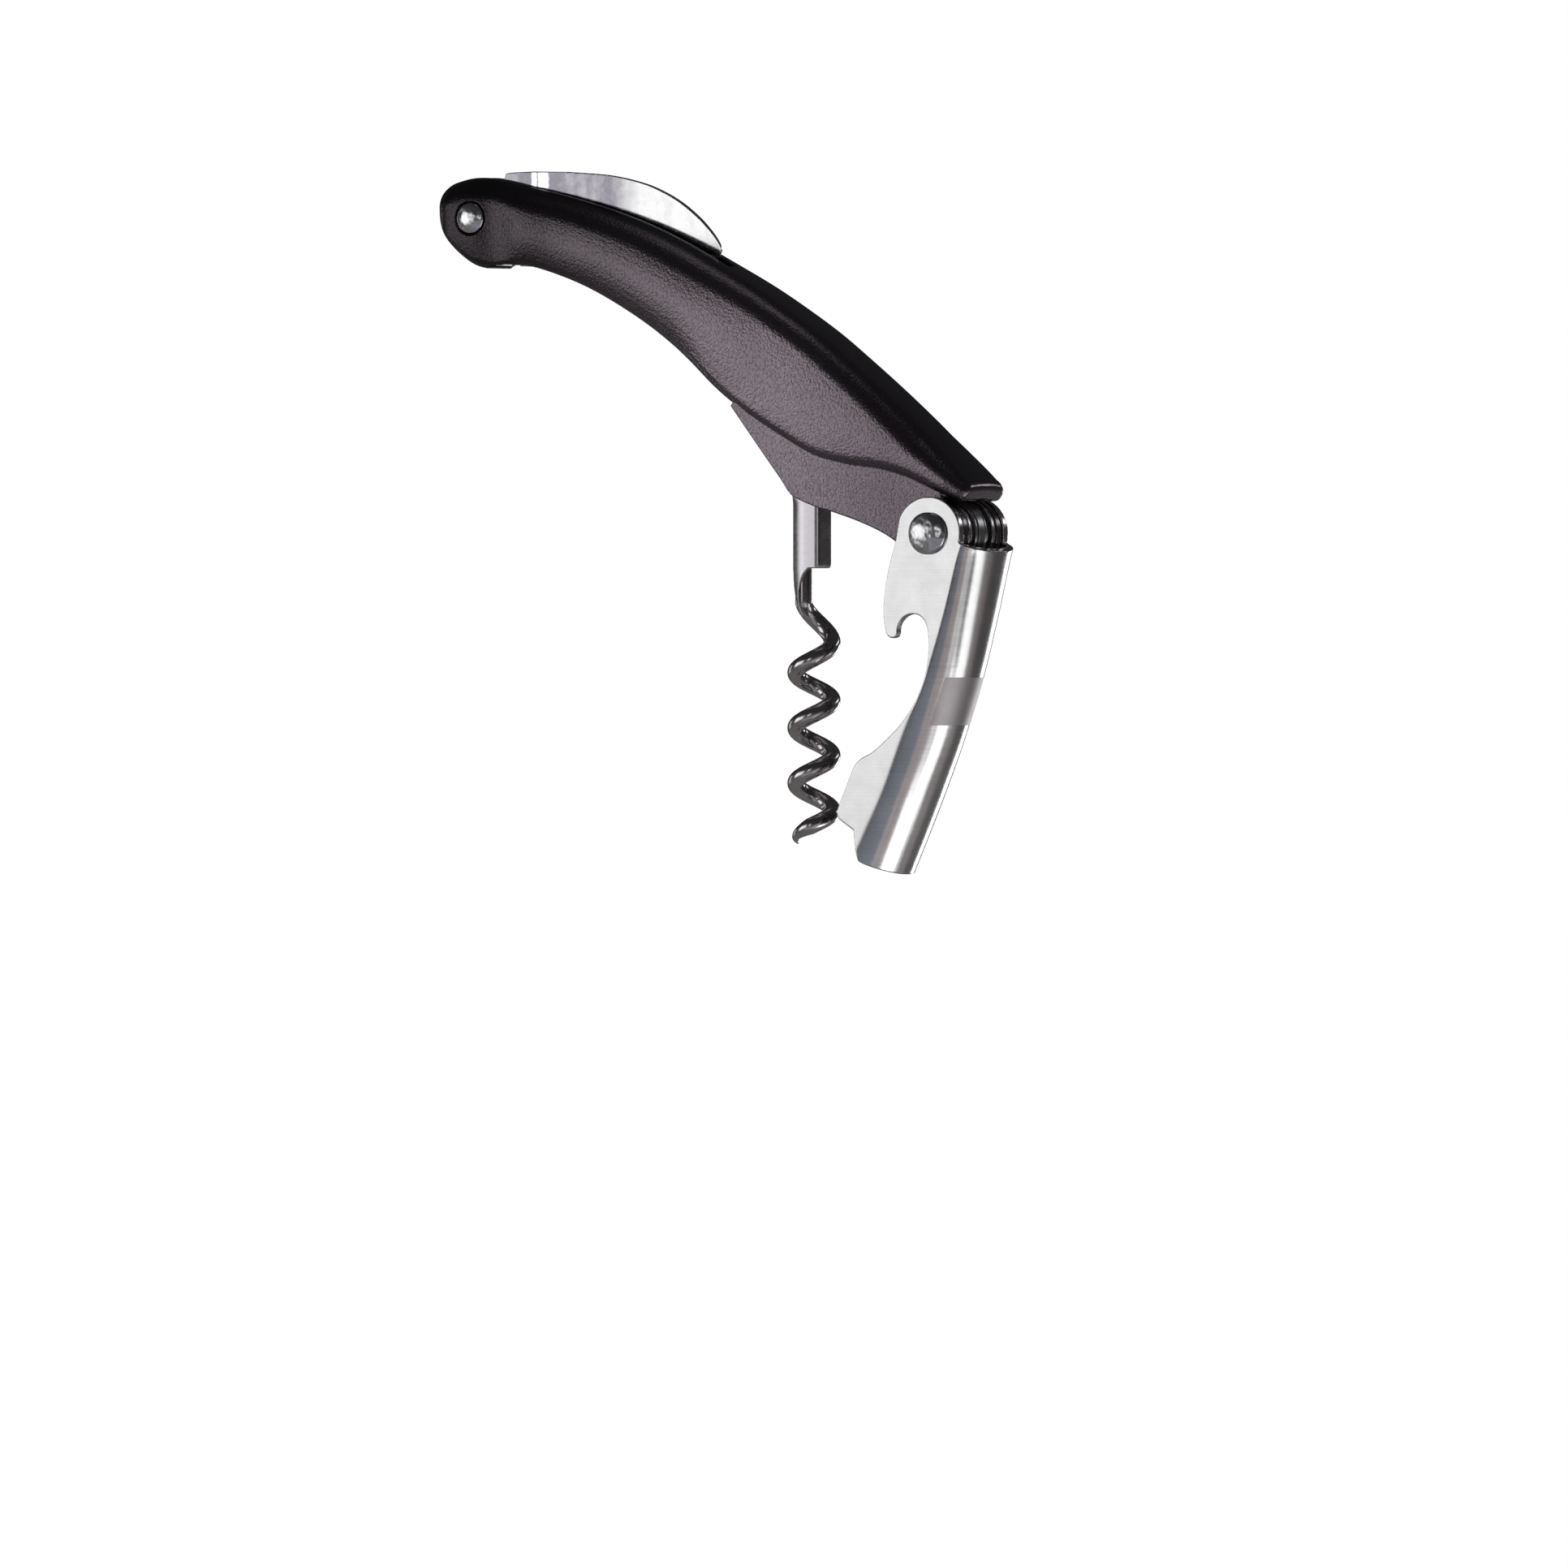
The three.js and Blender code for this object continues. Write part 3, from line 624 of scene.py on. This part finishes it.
CHEEK_EDGE = [(-39.1, 21.4), (-33.0, 13.6), (-29.5, 9.2), (-27.9, 7.0), (-26.4, 5.9),
              (-22.5, 4.4), (-19.4, 3.6), (-14.1, 1.9), (-9.4, -0.1), (-5.6, -2.5)]
SLOT_FRONT = -42.2
SLOT_OUTLINE = [(SLOT_FRONT, 70), (SLOT_FRONT, 41), (-70, 50), KNIFE_PIVOT,
                (-95.7, 43), (-110, 43), (-110, 70)]
SCOOP = (-83.3, 40.9)
SCOOP_RADIUS = 5.4
SCOOP_INNER_RADIUS = 4.3      # through the thin wall left inside the scoop
SCOOP_FLOOR = 5.3             # how far out of the mid-plane that wall reaches
LIP_NOTCH = [(2.5, 3.0), (11, 2.0), (11, 5.5), (3.0, 5.9)]
LIP_NOTCH_HALF = 1.3


def cheek_outline():
    front = arc(LEVER_PIVOT, FRONT_RADIUS, -142, 66)
    return curve(CHEEK_EDGE, 6) + front + [(-1, 9.5), (-10.4, 13), (-23.4, 17), (-36, 25)]


def cavity_outline():
    spine = spine_inset(2.4, 6, 18)[::-1]
    rear = arc(KNIFE_PIVOT, KNIFE_POCKET, 80, 304)
    below = [(-87.2, 38), (-60, 20), (-30, -12), (12, -12), (12, 3.6)]
    return spine + rear + below + arc(LEVER_PIVOT, FRONT_RADIUS + GAP, 35.5, 72)


LIP_REACH = 1.9
LIP_CLOSURE = 0.8        # how far the round front end closes, as a share of the lip's depth
LIP_ANGLES = range(12, 85, 12)


def rounded_lip(last):
    """Rows that carry the grip's last row on to a round front end."""
    top_x, top_z, low_x, low_z, half = last
    depth = math.hypot(low_x - top_x, low_z - top_z)
    down = Vector((low_x - top_x, low_z - top_z)) / depth
    ahead = Vector((-down.y, down.x))
    rows = []
    for angle in LIP_ANGLES:
        out = ahead * (LIP_REACH * math.sin(math.radians(angle)))
        inset = LIP_CLOSURE * depth / 2 * (1 - math.cos(math.radians(angle)))
        top = Vector((top_x, top_z)) + out + down * inset
        low = Vector((low_x, low_z)) + out - down * inset
        rows.append((*top, *low, half - inset))
    return rows


# The mesh size of each piece that is softened.
SHELL_GRID = 0.14
LEVER_GRID = 0.13
SHANK_GRID = 0.09
KNIFE_GRID = 0.1


def moulded_handle():
    rows = curve(GRIP, 6) + rounded_lip(GRIP[-1])
    piece = ring_solid("handle", [grip_ring(row) for row in rows])
    for low, high in ((CHEEK_HALF, OUTSIDE), (-OUTSIDE, -CHEEK_HALF)):
        combine(piece, plate("relief", arc(LEVER_PIVOT, EAR_RELIEF, 0, 360)[:-1], low, high))
    combine(piece, plate("cheeks", cheek_outline(), -CHEEK_HALF, CHEEK_HALF), "UNION")
    combine(piece, plate("cavity", cavity_outline(), -CAVITY_HALF, CAVITY_HALF))
    combine(piece, plate("slot", SLOT_OUTLINE, -SLOT_HALF, SLOT_HALF))
    combine(piece, bar(SCOOP, SCOOP_RADIUS, SCOOP_FLOOR, OUTSIDE))
    combine(piece, bar(SCOOP, SCOOP_RADIUS, -OUTSIDE, -SCOOP_FLOOR))
    combine(piece, bar(SCOOP, SCOOP_INNER_RADIUS, -OUTSIDE, OUTSIDE))
    combine(piece, plate("notch", LIP_NOTCH, -LIP_NOTCH_HALF, LIP_NOTCH_HALF))
    drill(piece, [(LEVER_PIVOT, LEVER_RIVET_RADIUS), (KNIFE_PIVOT, KNIFE_RIVET_RADIUS)])
    for low, high in ((KNIFE_SEAT[1], OUTSIDE), (-OUTSIDE, -KNIFE_SEAT[1])):
        combine(piece, bar(KNIFE_PIVOT, KNIFE_SEAT[0], low, high))
    soften(piece, SHELL_GRID, 5)
    place_in_frame(piece, "moulded_handle", "handle", ["handle_shell"], PLASTIC)


# ---- frame inside the handle ----

# Where the folded worm lies: a line from the worm's pin, and how far from it the coil reaches.
FOLD_ANGLE = 122.0
COIL_START = 23.6
COIL_END = 64.6
COIL_CLEARANCE = COIL_RADIUS + WIRE_RADIUS + 0.5


def beside_folded_worm(along, above):
    """A point along the folded worm's axis and to its upper side, seen from the worm's pin."""
    angle = math.radians(FOLD_ANGLE - 90)
    x = WORM_PIVOT[0] - along * math.cos(angle) + above * math.sin(angle)
    z = WORM_PIVOT[1] + along * math.sin(angle) + above * math.cos(angle)
    return (x, z)


def liner_outline():
    """The liner fills the handle's hollow but leaves the folded worm's coil free. Its rear foot shows
    in the scoop."""
    return [
        *arc(LEVER_PIVOT, FRONT_RADIUS - 0.1, -150, 72),
        *spine_inset(2.8, 7, 18)[::-1],
        *arc(KNIFE_PIVOT, KNIFE_POCKET - 0.4, 75, 304),
        (-86.0, 49.0), (-85.9, 45.5), (-85.3, 45.0),
        *arc(WORM_PIVOT, COIL_END, 149.9, 144, 1),
        beside_folded_worm(COIL_START, COIL_CLEARANCE),
        *curve([(-43.6, 26.3), (-41.4, 24.2), (-38.3, 21.5), (-32.4, 14.1), (-28.8, 9.5), (-26.2, 6.7),
                (-22.3, 5.2), (-19.2, 4.4), (-13.8, 2.6), (-9.0, 0.6)], 4),
    ]


PIN_HOLES = [(FRONT_PIN, SMALL_PIN_RADIUS), (REAR_PIN, SMALL_PIN_RADIUS)]


def liners():
    holes = [(LEVER_PIVOT, LEVER_RIVET_RADIUS), (KNIFE_PIVOT, KNIFE_RIVET_RADIUS),
             (WORM_PIVOT, WORM_PIN_RADIUS), *PIN_HOLES, (STOP_PIN, SMALL_PIN_RADIUS)]
    for side, low, high in (("near", -LINER_OUTER, -LINER_INNER), ("far", LINER_INNER, LINER_OUTER)):
        piece = drill(plate("liner", liner_outline(), low, high, 0.12), holes)
        name = f"frame_plate_{side}"
        place_in_frame(piece, name, "handle", [f"liner_{side}"], SATIN_STEEL, True)


def spring():
    outline = [
        *arc(LEVER_PIVOT, FRONT_RADIUS - 0.1, -175, 110),
        *curve([(-8.5, 13.4), (-22, 24), (-36, 33.2), (-45, 37.2)], 5),
        (-45.6, 34.6),
        *curve([(-35, 25.6), (-24.4, 17.2), (-15, 9.4)], 5),
    ]
    piece = plate("spring", outline, -SPRING_HALF, SPRING_HALF, 0.15)
    drill(piece, [(LEVER_PIVOT, LEVER_RIVET_RADIUS), *PIN_HOLES])
    place_in_frame(piece, "spring_strip", "handle", ["back_spring"], SPRING_STEEL, True)


SPACER_HUB = 3.2
SPACER_EDGE = 0.15


def spacers():
    """Stepped rings on both sides of the spring: a wide rim beside it and a narrow hub outside."""
    wide = FRONT_RADIUS - 0.2
    hole = LEVER_RIVET_RADIUS + HOLE_PLAY
    low = SPRING_HALF + SIDE_PLAY
    high = LINER_INNER - SIDE_PLAY
    profile = [
        (hole, low),
        (wide - SPACER_EDGE, low),
        (wide, low + SPACER_EDGE),
        (wide, SPACER_STEP - SPACER_EDGE),
        (wide - SPACER_EDGE, SPACER_STEP),
        (SPACER_HUB, SPACER_STEP),
        (SPACER_HUB, high),
        (hole, high),
    ]
    for side, sign in (("near", -1), ("far", 1)):
        piece = turned("spacer", LEVER_PIVOT, [(r, sign * y) for r, y in profile], 96)
        name = f"spring_spacer_{side}"
        place_in_frame(piece, f"stepped_{name}", "handle", [name], SATIN_STEEL, True)


RIM_SHARE = 0.42          # of a rivet head's height


def rivet(axis, radius, head, seat):
    """A rivet along Y with a domed head at each end, whose rim stands up a little from its seat."""
    head_radius, height = head
    rim = height * RIM_SHARE
    crown = height - rim
    sphere = (head_radius ** 2 + crown ** 2) / (2 * crown)
    dome = []
    for k in range(13):
        r = head_radius * k / 12
        dome.append((r, seat + rim + math.sqrt(sphere ** 2 - r ** 2) - (sphere - crown)))
    dome[-1] = (head_radius - 0.07, dome[-1][1])
    half = [
        *dome,
        (head_radius, seat + rim - 0.12),
        (head_radius, seat + 0.08),
        (head_radius - 0.08, seat),
        (radius, seat),
    ]
    return turned("rivet", axis, [*[(r, -y) for r, y in half], *reversed(half)], 72)


def rivets():
    rows = [
        ("lever_rivet", LEVER_PIVOT, LEVER_RIVET_RADIUS, LEVER_HEAD, LEVER_OUTER + SIDE_PLAY),
        ("knife_rivet", KNIFE_PIVOT, KNIFE_RIVET_RADIUS, KNIFE_HEAD, KNIFE_SEAT[1] + SIDE_PLAY),
    ]
    for name, axis, radius, head, seat in rows:
        piece = rivet(axis, radius, head, seat)
        place_in_frame(piece, f"domed_{name}", "handle", [name], RIVET_STEEL, True)


# ---- lever ----

# The land that rests on the bottle's lip.
NOTCH_OUTER = (-16.4, -48.1)
NOTCH_INNER = (-14.4, -49.4)

# The channel from above its top to its foot: the height, where its round back starts along x, and
# how far back it reaches.
CHANNEL = [
    (9.0, 9.4, 12.8),
    (-1.4, 6.3, 9.7),
    (-4.9, 5.1, 8.8),
    (-13.8, 2.6, 6.8),
    (-24.0, -1.0, 4.3),
    (-34.0, -5.7, 1.1),
    (-42.6, -9.2, -2.4),
    (-49.6, -12.8, -5.4),
    (-58.5, -17.5, -9.4),
]


def flange_outline():
    """The lever from the side: the ear, the cap hook, the arch and the foot."""
    return [
        *arc(LEVER_PIVOT, EAR_RADIUS, -15, 155),
        *curve([(-6.3, -1.4), (-7.7, -6.1), (-8.45, -10.5), (-8.6, -13.5), (-8.2, -16.2), (-7.6, -17.2),
                (-6.8, -17.4), (-6.0, -16.9), (-5.75, -15.4), (-4.7, -13.95), (-3.0, -13.4), (-1.4, -13.9),
                (-0.3, -15.5), (0.05, -18.2), (-0.15, -21.2), (-0.95, -24.5), (-2.5, -27.9), (-4.4, -30.6),
                (-6.5, -32.9), (-10.5, -36.2), (-13.0, -37.5), (-14.4, -39.0), (-16.0, -42.6),
                (-17.4, -45.8), (-17.4, -47.2), NOTCH_OUTER], 6),
        *curve([NOTCH_INNER, (-14.2, -51.4), (-13.8, -54.0), (-12.9, -55.0), (-8.2, -57.0)], 5),
        (5, -62.6), (20, -62.6), (20, -7.5),
    ]


def channel(inset):
    """The channel's outside, or its inside when a sheet's thickness is taken off."""
    half = LEVER_OUTER - inset
    rings = []
    for z, bend, back in curve(CHANNEL, 6):
        depth = back - bend - inset
        round_part = [(bend + depth * x, half * y, z) for x, y in arc((0, 0), 1, -90, 90, 3)]
        rings.append([(-40, -half, z), *round_part, (-40, half, z)])
    return ring_solid("channel", rings)


def channel_lever():
    piece = combine(channel(0), channel(LEVER_SHEET))
    combine(piece, plate("flanges", flange_outline(), -OUTSIDE, OUTSIDE), "INTERSECT")
    drill(piece, [(LEVER_PIVOT, LEVER_RIVET_RADIUS)])
    soften(piece, LEVER_GRID, 3)
    place_in_frame(piece, "channel_lever", "lever", ["lever"], LEVER_STEEL)


# ---- worm ----

SHANK_WALL = 0.55
SHANK_FRONT = -24.4
SHANK_STEP = -5.7         # where the far wall ends; the near wall goes on as a tongue
SHANK_REAR = [(-29.8, -6), (-29.65, -8.6), (-29.3, -10.9), (-28.85, -12.5), (-28.3, -13.6),
              (-27.7, -14.25)]
REAR_CURL = 0.34         # how far the walls curl in at the rear edge, as a share of the half-width
REAR_CURL_WIDTH = 3.4
FRONT_CURL = 0.1
FRONT_CURL_WIDTH = 1.0
CURL_TOP = 9.0           # the height above which the walls stay flat, and the length of the change
CURL_FADE = 4.0


def rear_edge(z):
    """The shank's rear edge at a height."""
    for (x0, z0), (x1, z1) in zip(SHANK_REAR, SHANK_REAR[1:]):
        if z0 >= z >= z1:
            return x0 + (x1 - x0) * (z0 - z) / (z0 - z1)
    return SHANK_REAR[0][0] if z > SHANK_REAR[0][1] else SHANK_REAR[-1][0]


def curl_walls(piece):
    """Bends the shank's flat walls in a little towards their rear and front edges."""
    for vertex in piece.data.vertices:
        if vertex.co.z < CURL_TOP:
            rear = max(0.0, 1 - (vertex.co.x - rear_edge(vertex.co.z)) / REAR_CURL_WIDTH)
            front = max(0.0, 1 - (SHANK_FRONT - vertex.co.x) / FRONT_CURL_WIDTH)
            fade = min(1.0, (CURL_TOP - vertex.co.z) / CURL_FADE)
            vertex.co.y *= 1 - fade * (REAR_CURL * rear ** 2 + FRONT_CURL * front ** 2)


def shank():
    outline = [
        *arc(WORM_PIVOT, SHANK_RADIUS, 0, 180),
        *curve(SHANK_REAR, 6),
        *curve([(-27.4, -14.0), (-27.75, -13.3), (-28.25, -12.3), (-28.5, -11.0), (-28.5, -9.4),
                (-28.15, -8.0), (-27.4, -6.65), (-26.4, SHANK_STEP)], 5),
        *arc((SHANK_FRONT - 0.6, SHANK_STEP + 0.6), 0.6, -90, 0, 15),
        (SHANK_FRONT, 8.6),
    ]
    inner = SHANK_FRONT - 0.8
    wire_slot = [(-32, -16), (inner, -16), (inner, 4.2), (-26, 5.6), (-32, 5.6)]
    below_step = [(-32, SHANK_STEP), (-32, -16), (-22, -16), (-22, SHANK_STEP)]
    piece = plate("shank", outline, -SHANK_HALF, SHANK_HALF)
    combine(piece, plate("wire_slot", wire_slot, SHANK_WALL - SHANK_HALF, SHANK_HALF - SHANK_WALL))
    combine(piece, plate("below_step", below_step, 0, SHANK_HALF + 1))
    drill(piece, [(WORM_PIVOT, WORM_PIN_RADIUS)])
    soften(piece, SHANK_GRID, 4)
    curl_walls(piece)
    place_in_frame(piece, "folded_shank", "worm", ["worm_shank"], SHANK_STEEL)


def wire_centre(z):
    """The wire's centre line at a height: straight in the shank, opening out, then a right-handed
    coil."""
    opening = within_one((z - COIL_TOP) / (LEAD_START - COIL_TOP))
    below = max(COIL_TOP - z, 0)
    lag = COIL_EASE * (1 - math.exp(-below / COIL_EASE_DEPTH))
    turned_by = (180 - COIL_TOP_ANGLE) * opening + lag - 360 * below / COIL_PITCH
    angle = math.radians(COIL_TOP_ANGLE + turned_by)
    radius = COIL_RADIUS + (COIL_AXIS - LEAD_X - COIL_RADIUS) * opening
    return Vector((COIL_AXIS + radius * math.cos(angle), radius * math.sin(angle), z))


WIRE_STEPS = 420
TIP_SHARE = 0.15         # the point's radius, as a share of the wire's


def wire():
    steps = WIRE_STEPS
    heights = [WIRE_TOP + (WORM_TIP - WIRE_TOP) * i / steps for i in range(steps + 1)]
    centres = [wire_centre(z) for z in heights]
    rings = []
    for i, centre in enumerate(centres):
        along = (centres[min(i + 1, steps)] - centres[max(i - 1, 0)]).normalized()
        outward = Vector((centre.x - COIL_AXIS, centre.y, 0)).normalized()
        across = along.cross(outward).normalized()
        upright = across.cross(along)
        point = min(1.0, TIP_SHARE + abs(WORM_TIP - centre.z) / TIP_LENGTH)
        crown = math.sqrt(1 - max(0.0, 1 - (WIRE_TOP - centre.z + 0.05) / WIRE_RADIUS) ** 2)
        radius = WIRE_RADIUS * min(point, crown)
        circle = arc((0, 0), radius, 0, 360, 15)[:-1]
        rings.append([tuple(centre + upright * u + across * v) for u, v in circle])
    piece = ring_solid("wire", rings)
    place_in_frame(piece, "coiled_wire", "worm", ["worm_wire"], WORM_STEEL)


# ---- knife ----

PLUNGE = -80.6          # where the grind starts, along x
PLUNGE_LENGTH = 2.6
EDGE_START = Vector((-79, 51.6))
EDGE_END = Vector((-45.4, 46.5))
GRIND_DEPTH = 0.85      # share of the thickness that is ground away at the edge
GRIND_HEIGHT = 9.0


def folded_knife():
    outline = [
        *arc(KNIFE_PIVOT, TANG_RADIUS, 75, 300),
        (-85.2, 50.8), (-79, 51.6),
        *curve([(-72, 51.2), (-62, 49.8), (-52, 47.9), (-45.4, 46.5), (-44.7, 46.8), (-44.45, 47.6),
                (-45.4, 49.4), (-48.2, 52.4), (-52, 55.3), (-56, 57.4), (-60, 58.8), (-66, 60.0),
                (-74, 60.6)], 6),
        *curve([(-80.5, 60.7), (-85.2, 60.5), (-85.9, 60.0), (-86.2, 58.6), (-87.2, 57.4)], 5),
    ]
    piece = plate("blade", moved_in(without_repeats(outline), -0.1), -BLADE_HALF, BLADE_HALF)
    drill(piece, [(KNIFE_PIVOT, KNIFE_RIVET_RADIUS)])
    soften(piece, KNIFE_GRID, 6)
    along = (EDGE_END - EDGE_START).normalized()
    upward = Vector((-along.y, along.x))
    for vertex in piece.data.vertices:
        height = (Vector((vertex.co.x, vertex.co.z)) - EDGE_START).dot(upward)
        start = within_one((vertex.co.x - PLUNGE) / PLUNGE_LENGTH)
        cove = start * start * (3 - 2 * start)
        share = within_one(1 - height / GRIND_HEIGHT) ** 2
        vertex.co.y *= 1 - GRIND_DEPTH * share * cove
    place_in_frame(piece, "folded_knife", "knife", ["knife_blade"], BLADE_STEEL)


# ---- pieces ----

moulded_handle()
liners()
spring()
spacers()
rivets()
channel_lever()
shank()
wire()
folded_knife()

# The pins and washers inside keep their CAD shapes.
CARRIED_OVER = ("front_pin", "rear_pin", "blade_stop_pin", "worm_pin", "worm_washer_near",
                "worm_washer_far", "knife_washer_near", "knife_washer_far")
for cad_name in CARRIED_OVER:
    cad_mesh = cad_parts[cad_name].data
    cad_mesh.materials.clear()
    cad_mesh.materials.append(SATIN_STEEL)


# ---- floor, light and camera ----

# In metres, apart from the camera's turn in degrees and its sensor in millimetres.
CENTRE = Vector((0.01972, -0.01402, -0.04364))      # the middle of the view
FRAME_WIDTH = 0.26108
CAMERA_TURN = 30.0                                  # degrees round Z, level with the tool
CAMERA_DISTANCE = 8.0
SENSOR_WIDTH = 36.0
LIGHT_AIM = Vector((0.01, 0, 0))
FLOOR_HEIGHT = CAD_BOX[0][2] - 0.001
FLOOR_RADII = (0.3, 0.7)
FLOOR_SIDES = 96
FLOOR_GLOW = (0.94, 1.0)                            # under the tool, and away from it


def ground():
    """A round pale floor just below the tool's lowest reach."""
    vertices = []
    for radius in FLOOR_RADII:
        for k in range(FLOOR_SIDES):
            angle = 2 * math.pi * k / FLOOR_SIDES
            vertices.append((radius * math.cos(angle), radius * math.sin(angle), FLOOR_HEIGHT))
    faces = [list(range(FLOOR_SIDES))]
    for k in range(FLOOR_SIDES):
        following = (k + 1) % FLOOR_SIDES
        faces.append([k, following, FLOOR_SIDES + following, FLOOR_SIDES + k])
    floor = solid("floor", vertices, faces)
    material, tree, surface = start_material("pale_floor")
    tone = noise(tree, stretched(tree, (40, 40, 40)), detail=3.0)
    pale = ramp(tree, tone, [(0.3, (0.86, 0.86, 0.86)), (0.7, (0.88, 0.88, 0.88))])
    tree.links.new(pale, surface.inputs["Base Color"])
    surface.inputs["Roughness"].default_value = 1.0
    surface.inputs["Specular IOR Level"].default_value = 0.0
    surface.inputs["Emission Color"].default_value = (1, 1, 1, 1)
    place = node(tree, "ShaderNodeTexCoord").outputs["Object"]
    reach = node(tree, "ShaderNodeVectorMath", {0: place}, operation="LENGTH").outputs["Value"]
    tree.links.new(spread(tree, reach, 0.08, 0.36, *FLOOR_GLOW), surface.inputs["Emission Strength"])
    floor.data.materials.append(material)
    floor.visible_glossy = False
    floor.visible_diffuse = False
    floor.visible_shadow = False


def panel(name, azimuth, elevation, distance, size, radiance, colour=(1, 1, 1)):
    """A soft light in a direction from the tool, seen by surfaces but not by the camera."""
    data = bpy.data.lights.new(name, "AREA")
    data.shape = "RECTANGLE"
    data.size, data.size_y = size
    data.energy = radiance * math.pi * size[0] * size[1]
    data.color = colour
    lamp = bpy.data.objects.new(name, data)
    bpy.context.scene.collection.objects.link(lamp)
    a, e = math.radians(azimuth), math.radians(elevation)
    back = Vector((math.cos(a) * math.cos(e), math.sin(a) * math.cos(e), math.sin(e)))
    lamp.location = LIGHT_AIM + back * distance
    lamp.rotation_euler = back.to_track_quat("Z", "Y").to_euler()
    lamp.visible_camera = False


# The light that the panels leave, from straight below to above, as a share of the way up.
SURROUNDINGS = [
    (0.0, (0.16, 0.155, 0.155)),
    (0.35, (0.055, 0.05, 0.05)),
    (0.5, (0.05, 0.045, 0.045)),
    (0.75, (0.03, 0.03, 0.032)),
]


def surroundings():
    """White to the camera, and dim to the surfaces."""
    world = bpy.data.worlds.new("studio")
    world.use_nodes = True
    tree = world.node_tree
    tree.nodes.clear()
    facing = node(tree, "ShaderNodeTexCoord").outputs["Generated"]
    height = node(tree, "ShaderNodeSeparateXYZ", {"Vector": facing}).outputs["Z"]
    dim = ramp(tree, spread(tree, height, -0.5, 0.5), SURROUNDINGS)
    seen = node(tree, "ShaderNodeBackground", {"Color": (1, 1, 1, 1), "Strength": 1.0})
    lit = node(tree, "ShaderNodeBackground", {"Color": dim, "Strength": 1.0})
    direct = node(tree, "ShaderNodeLightPath").outputs["Is Camera Ray"]
    both = node(tree, "ShaderNodeMixShader", {0: direct, 1: lit.outputs[0], 2: seen.outputs[0]})
    node(tree, "ShaderNodeOutputWorld", {"Surface": both.outputs[0]})
    bpy.context.scene.world = world


def studio():
    """A key light for the near sides, and panels for the bands of light in the round steel."""
    panel("key", -130, 1, 1.0, (0.76, 0.62), 0.7)
    panel("key_middle", -130, 2, 0.99, (0.76, 0.26), 0.66)
    panel("key_core", -141, 1, 0.98, (0.18, 0.56), 0.5)
    panel("bend_blue", -80, -25, 1.0, (1.02, 0.60), 0.19, (0.72, 0.80, 1.0))
    panel("front_fill", -33, -28, 1.0, (0.60, 0.66), 0.3, (1.0, 0.86, 0.86))
    panel("stripe_soft", -9, -31, 0.99, (0.34, 0.70), 0.55)
    panel("stripe_upper", 22, -20, 1.0, (0.34, 0.20), 1.7)
    panel("stripe_middle", 10, -31, 1.0, (0.44, 0.20), 1.8)
    panel("stripe_lower", -4, -42, 1.0, (0.60, 0.20), 1.9)
    panel("back_brown", 40, -27, 1.0, (0.26, 0.55), 0.14, (1.0, 0.86, 0.8))
    panel("rim", 88, -11, 1.0, (0.26, 0.36), 3.6)
    panel("wire_streak", -84, 6, 1.0, (0.16, 0.26), 1.5)
    panel("front_edges", 60, 18, 1.0, (0.4, 0.10), 2.6)
    panel("left", 174, -6, 1.1, (0.34, 0.6), 0.6)
    panel("top", -90, 82, 0.9, (0.35, 0.25), 0.3)
    surroundings()


def camera():
    """A distant camera with a long lens, level with the tool."""
    data = bpy.data.cameras.new("camera")
    data.sensor_width = SENSOR_WIDTH
    data.lens = SENSOR_WIDTH * CAMERA_DISTANCE / FRAME_WIDTH
    view = bpy.data.objects.new("camera", data)
    bpy.context.scene.collection.objects.link(view)
    turn = math.radians(CAMERA_TURN)
    view.location = CENTRE + Vector((math.sin(turn), -math.cos(turn), 0)) * CAMERA_DISTANCE
    view.rotation_euler = (math.radians(90), 0, turn)
    bpy.context.scene.camera = view


ground()
studio()
camera()
bpy.context.scene.view_settings.view_transform = "Standard"
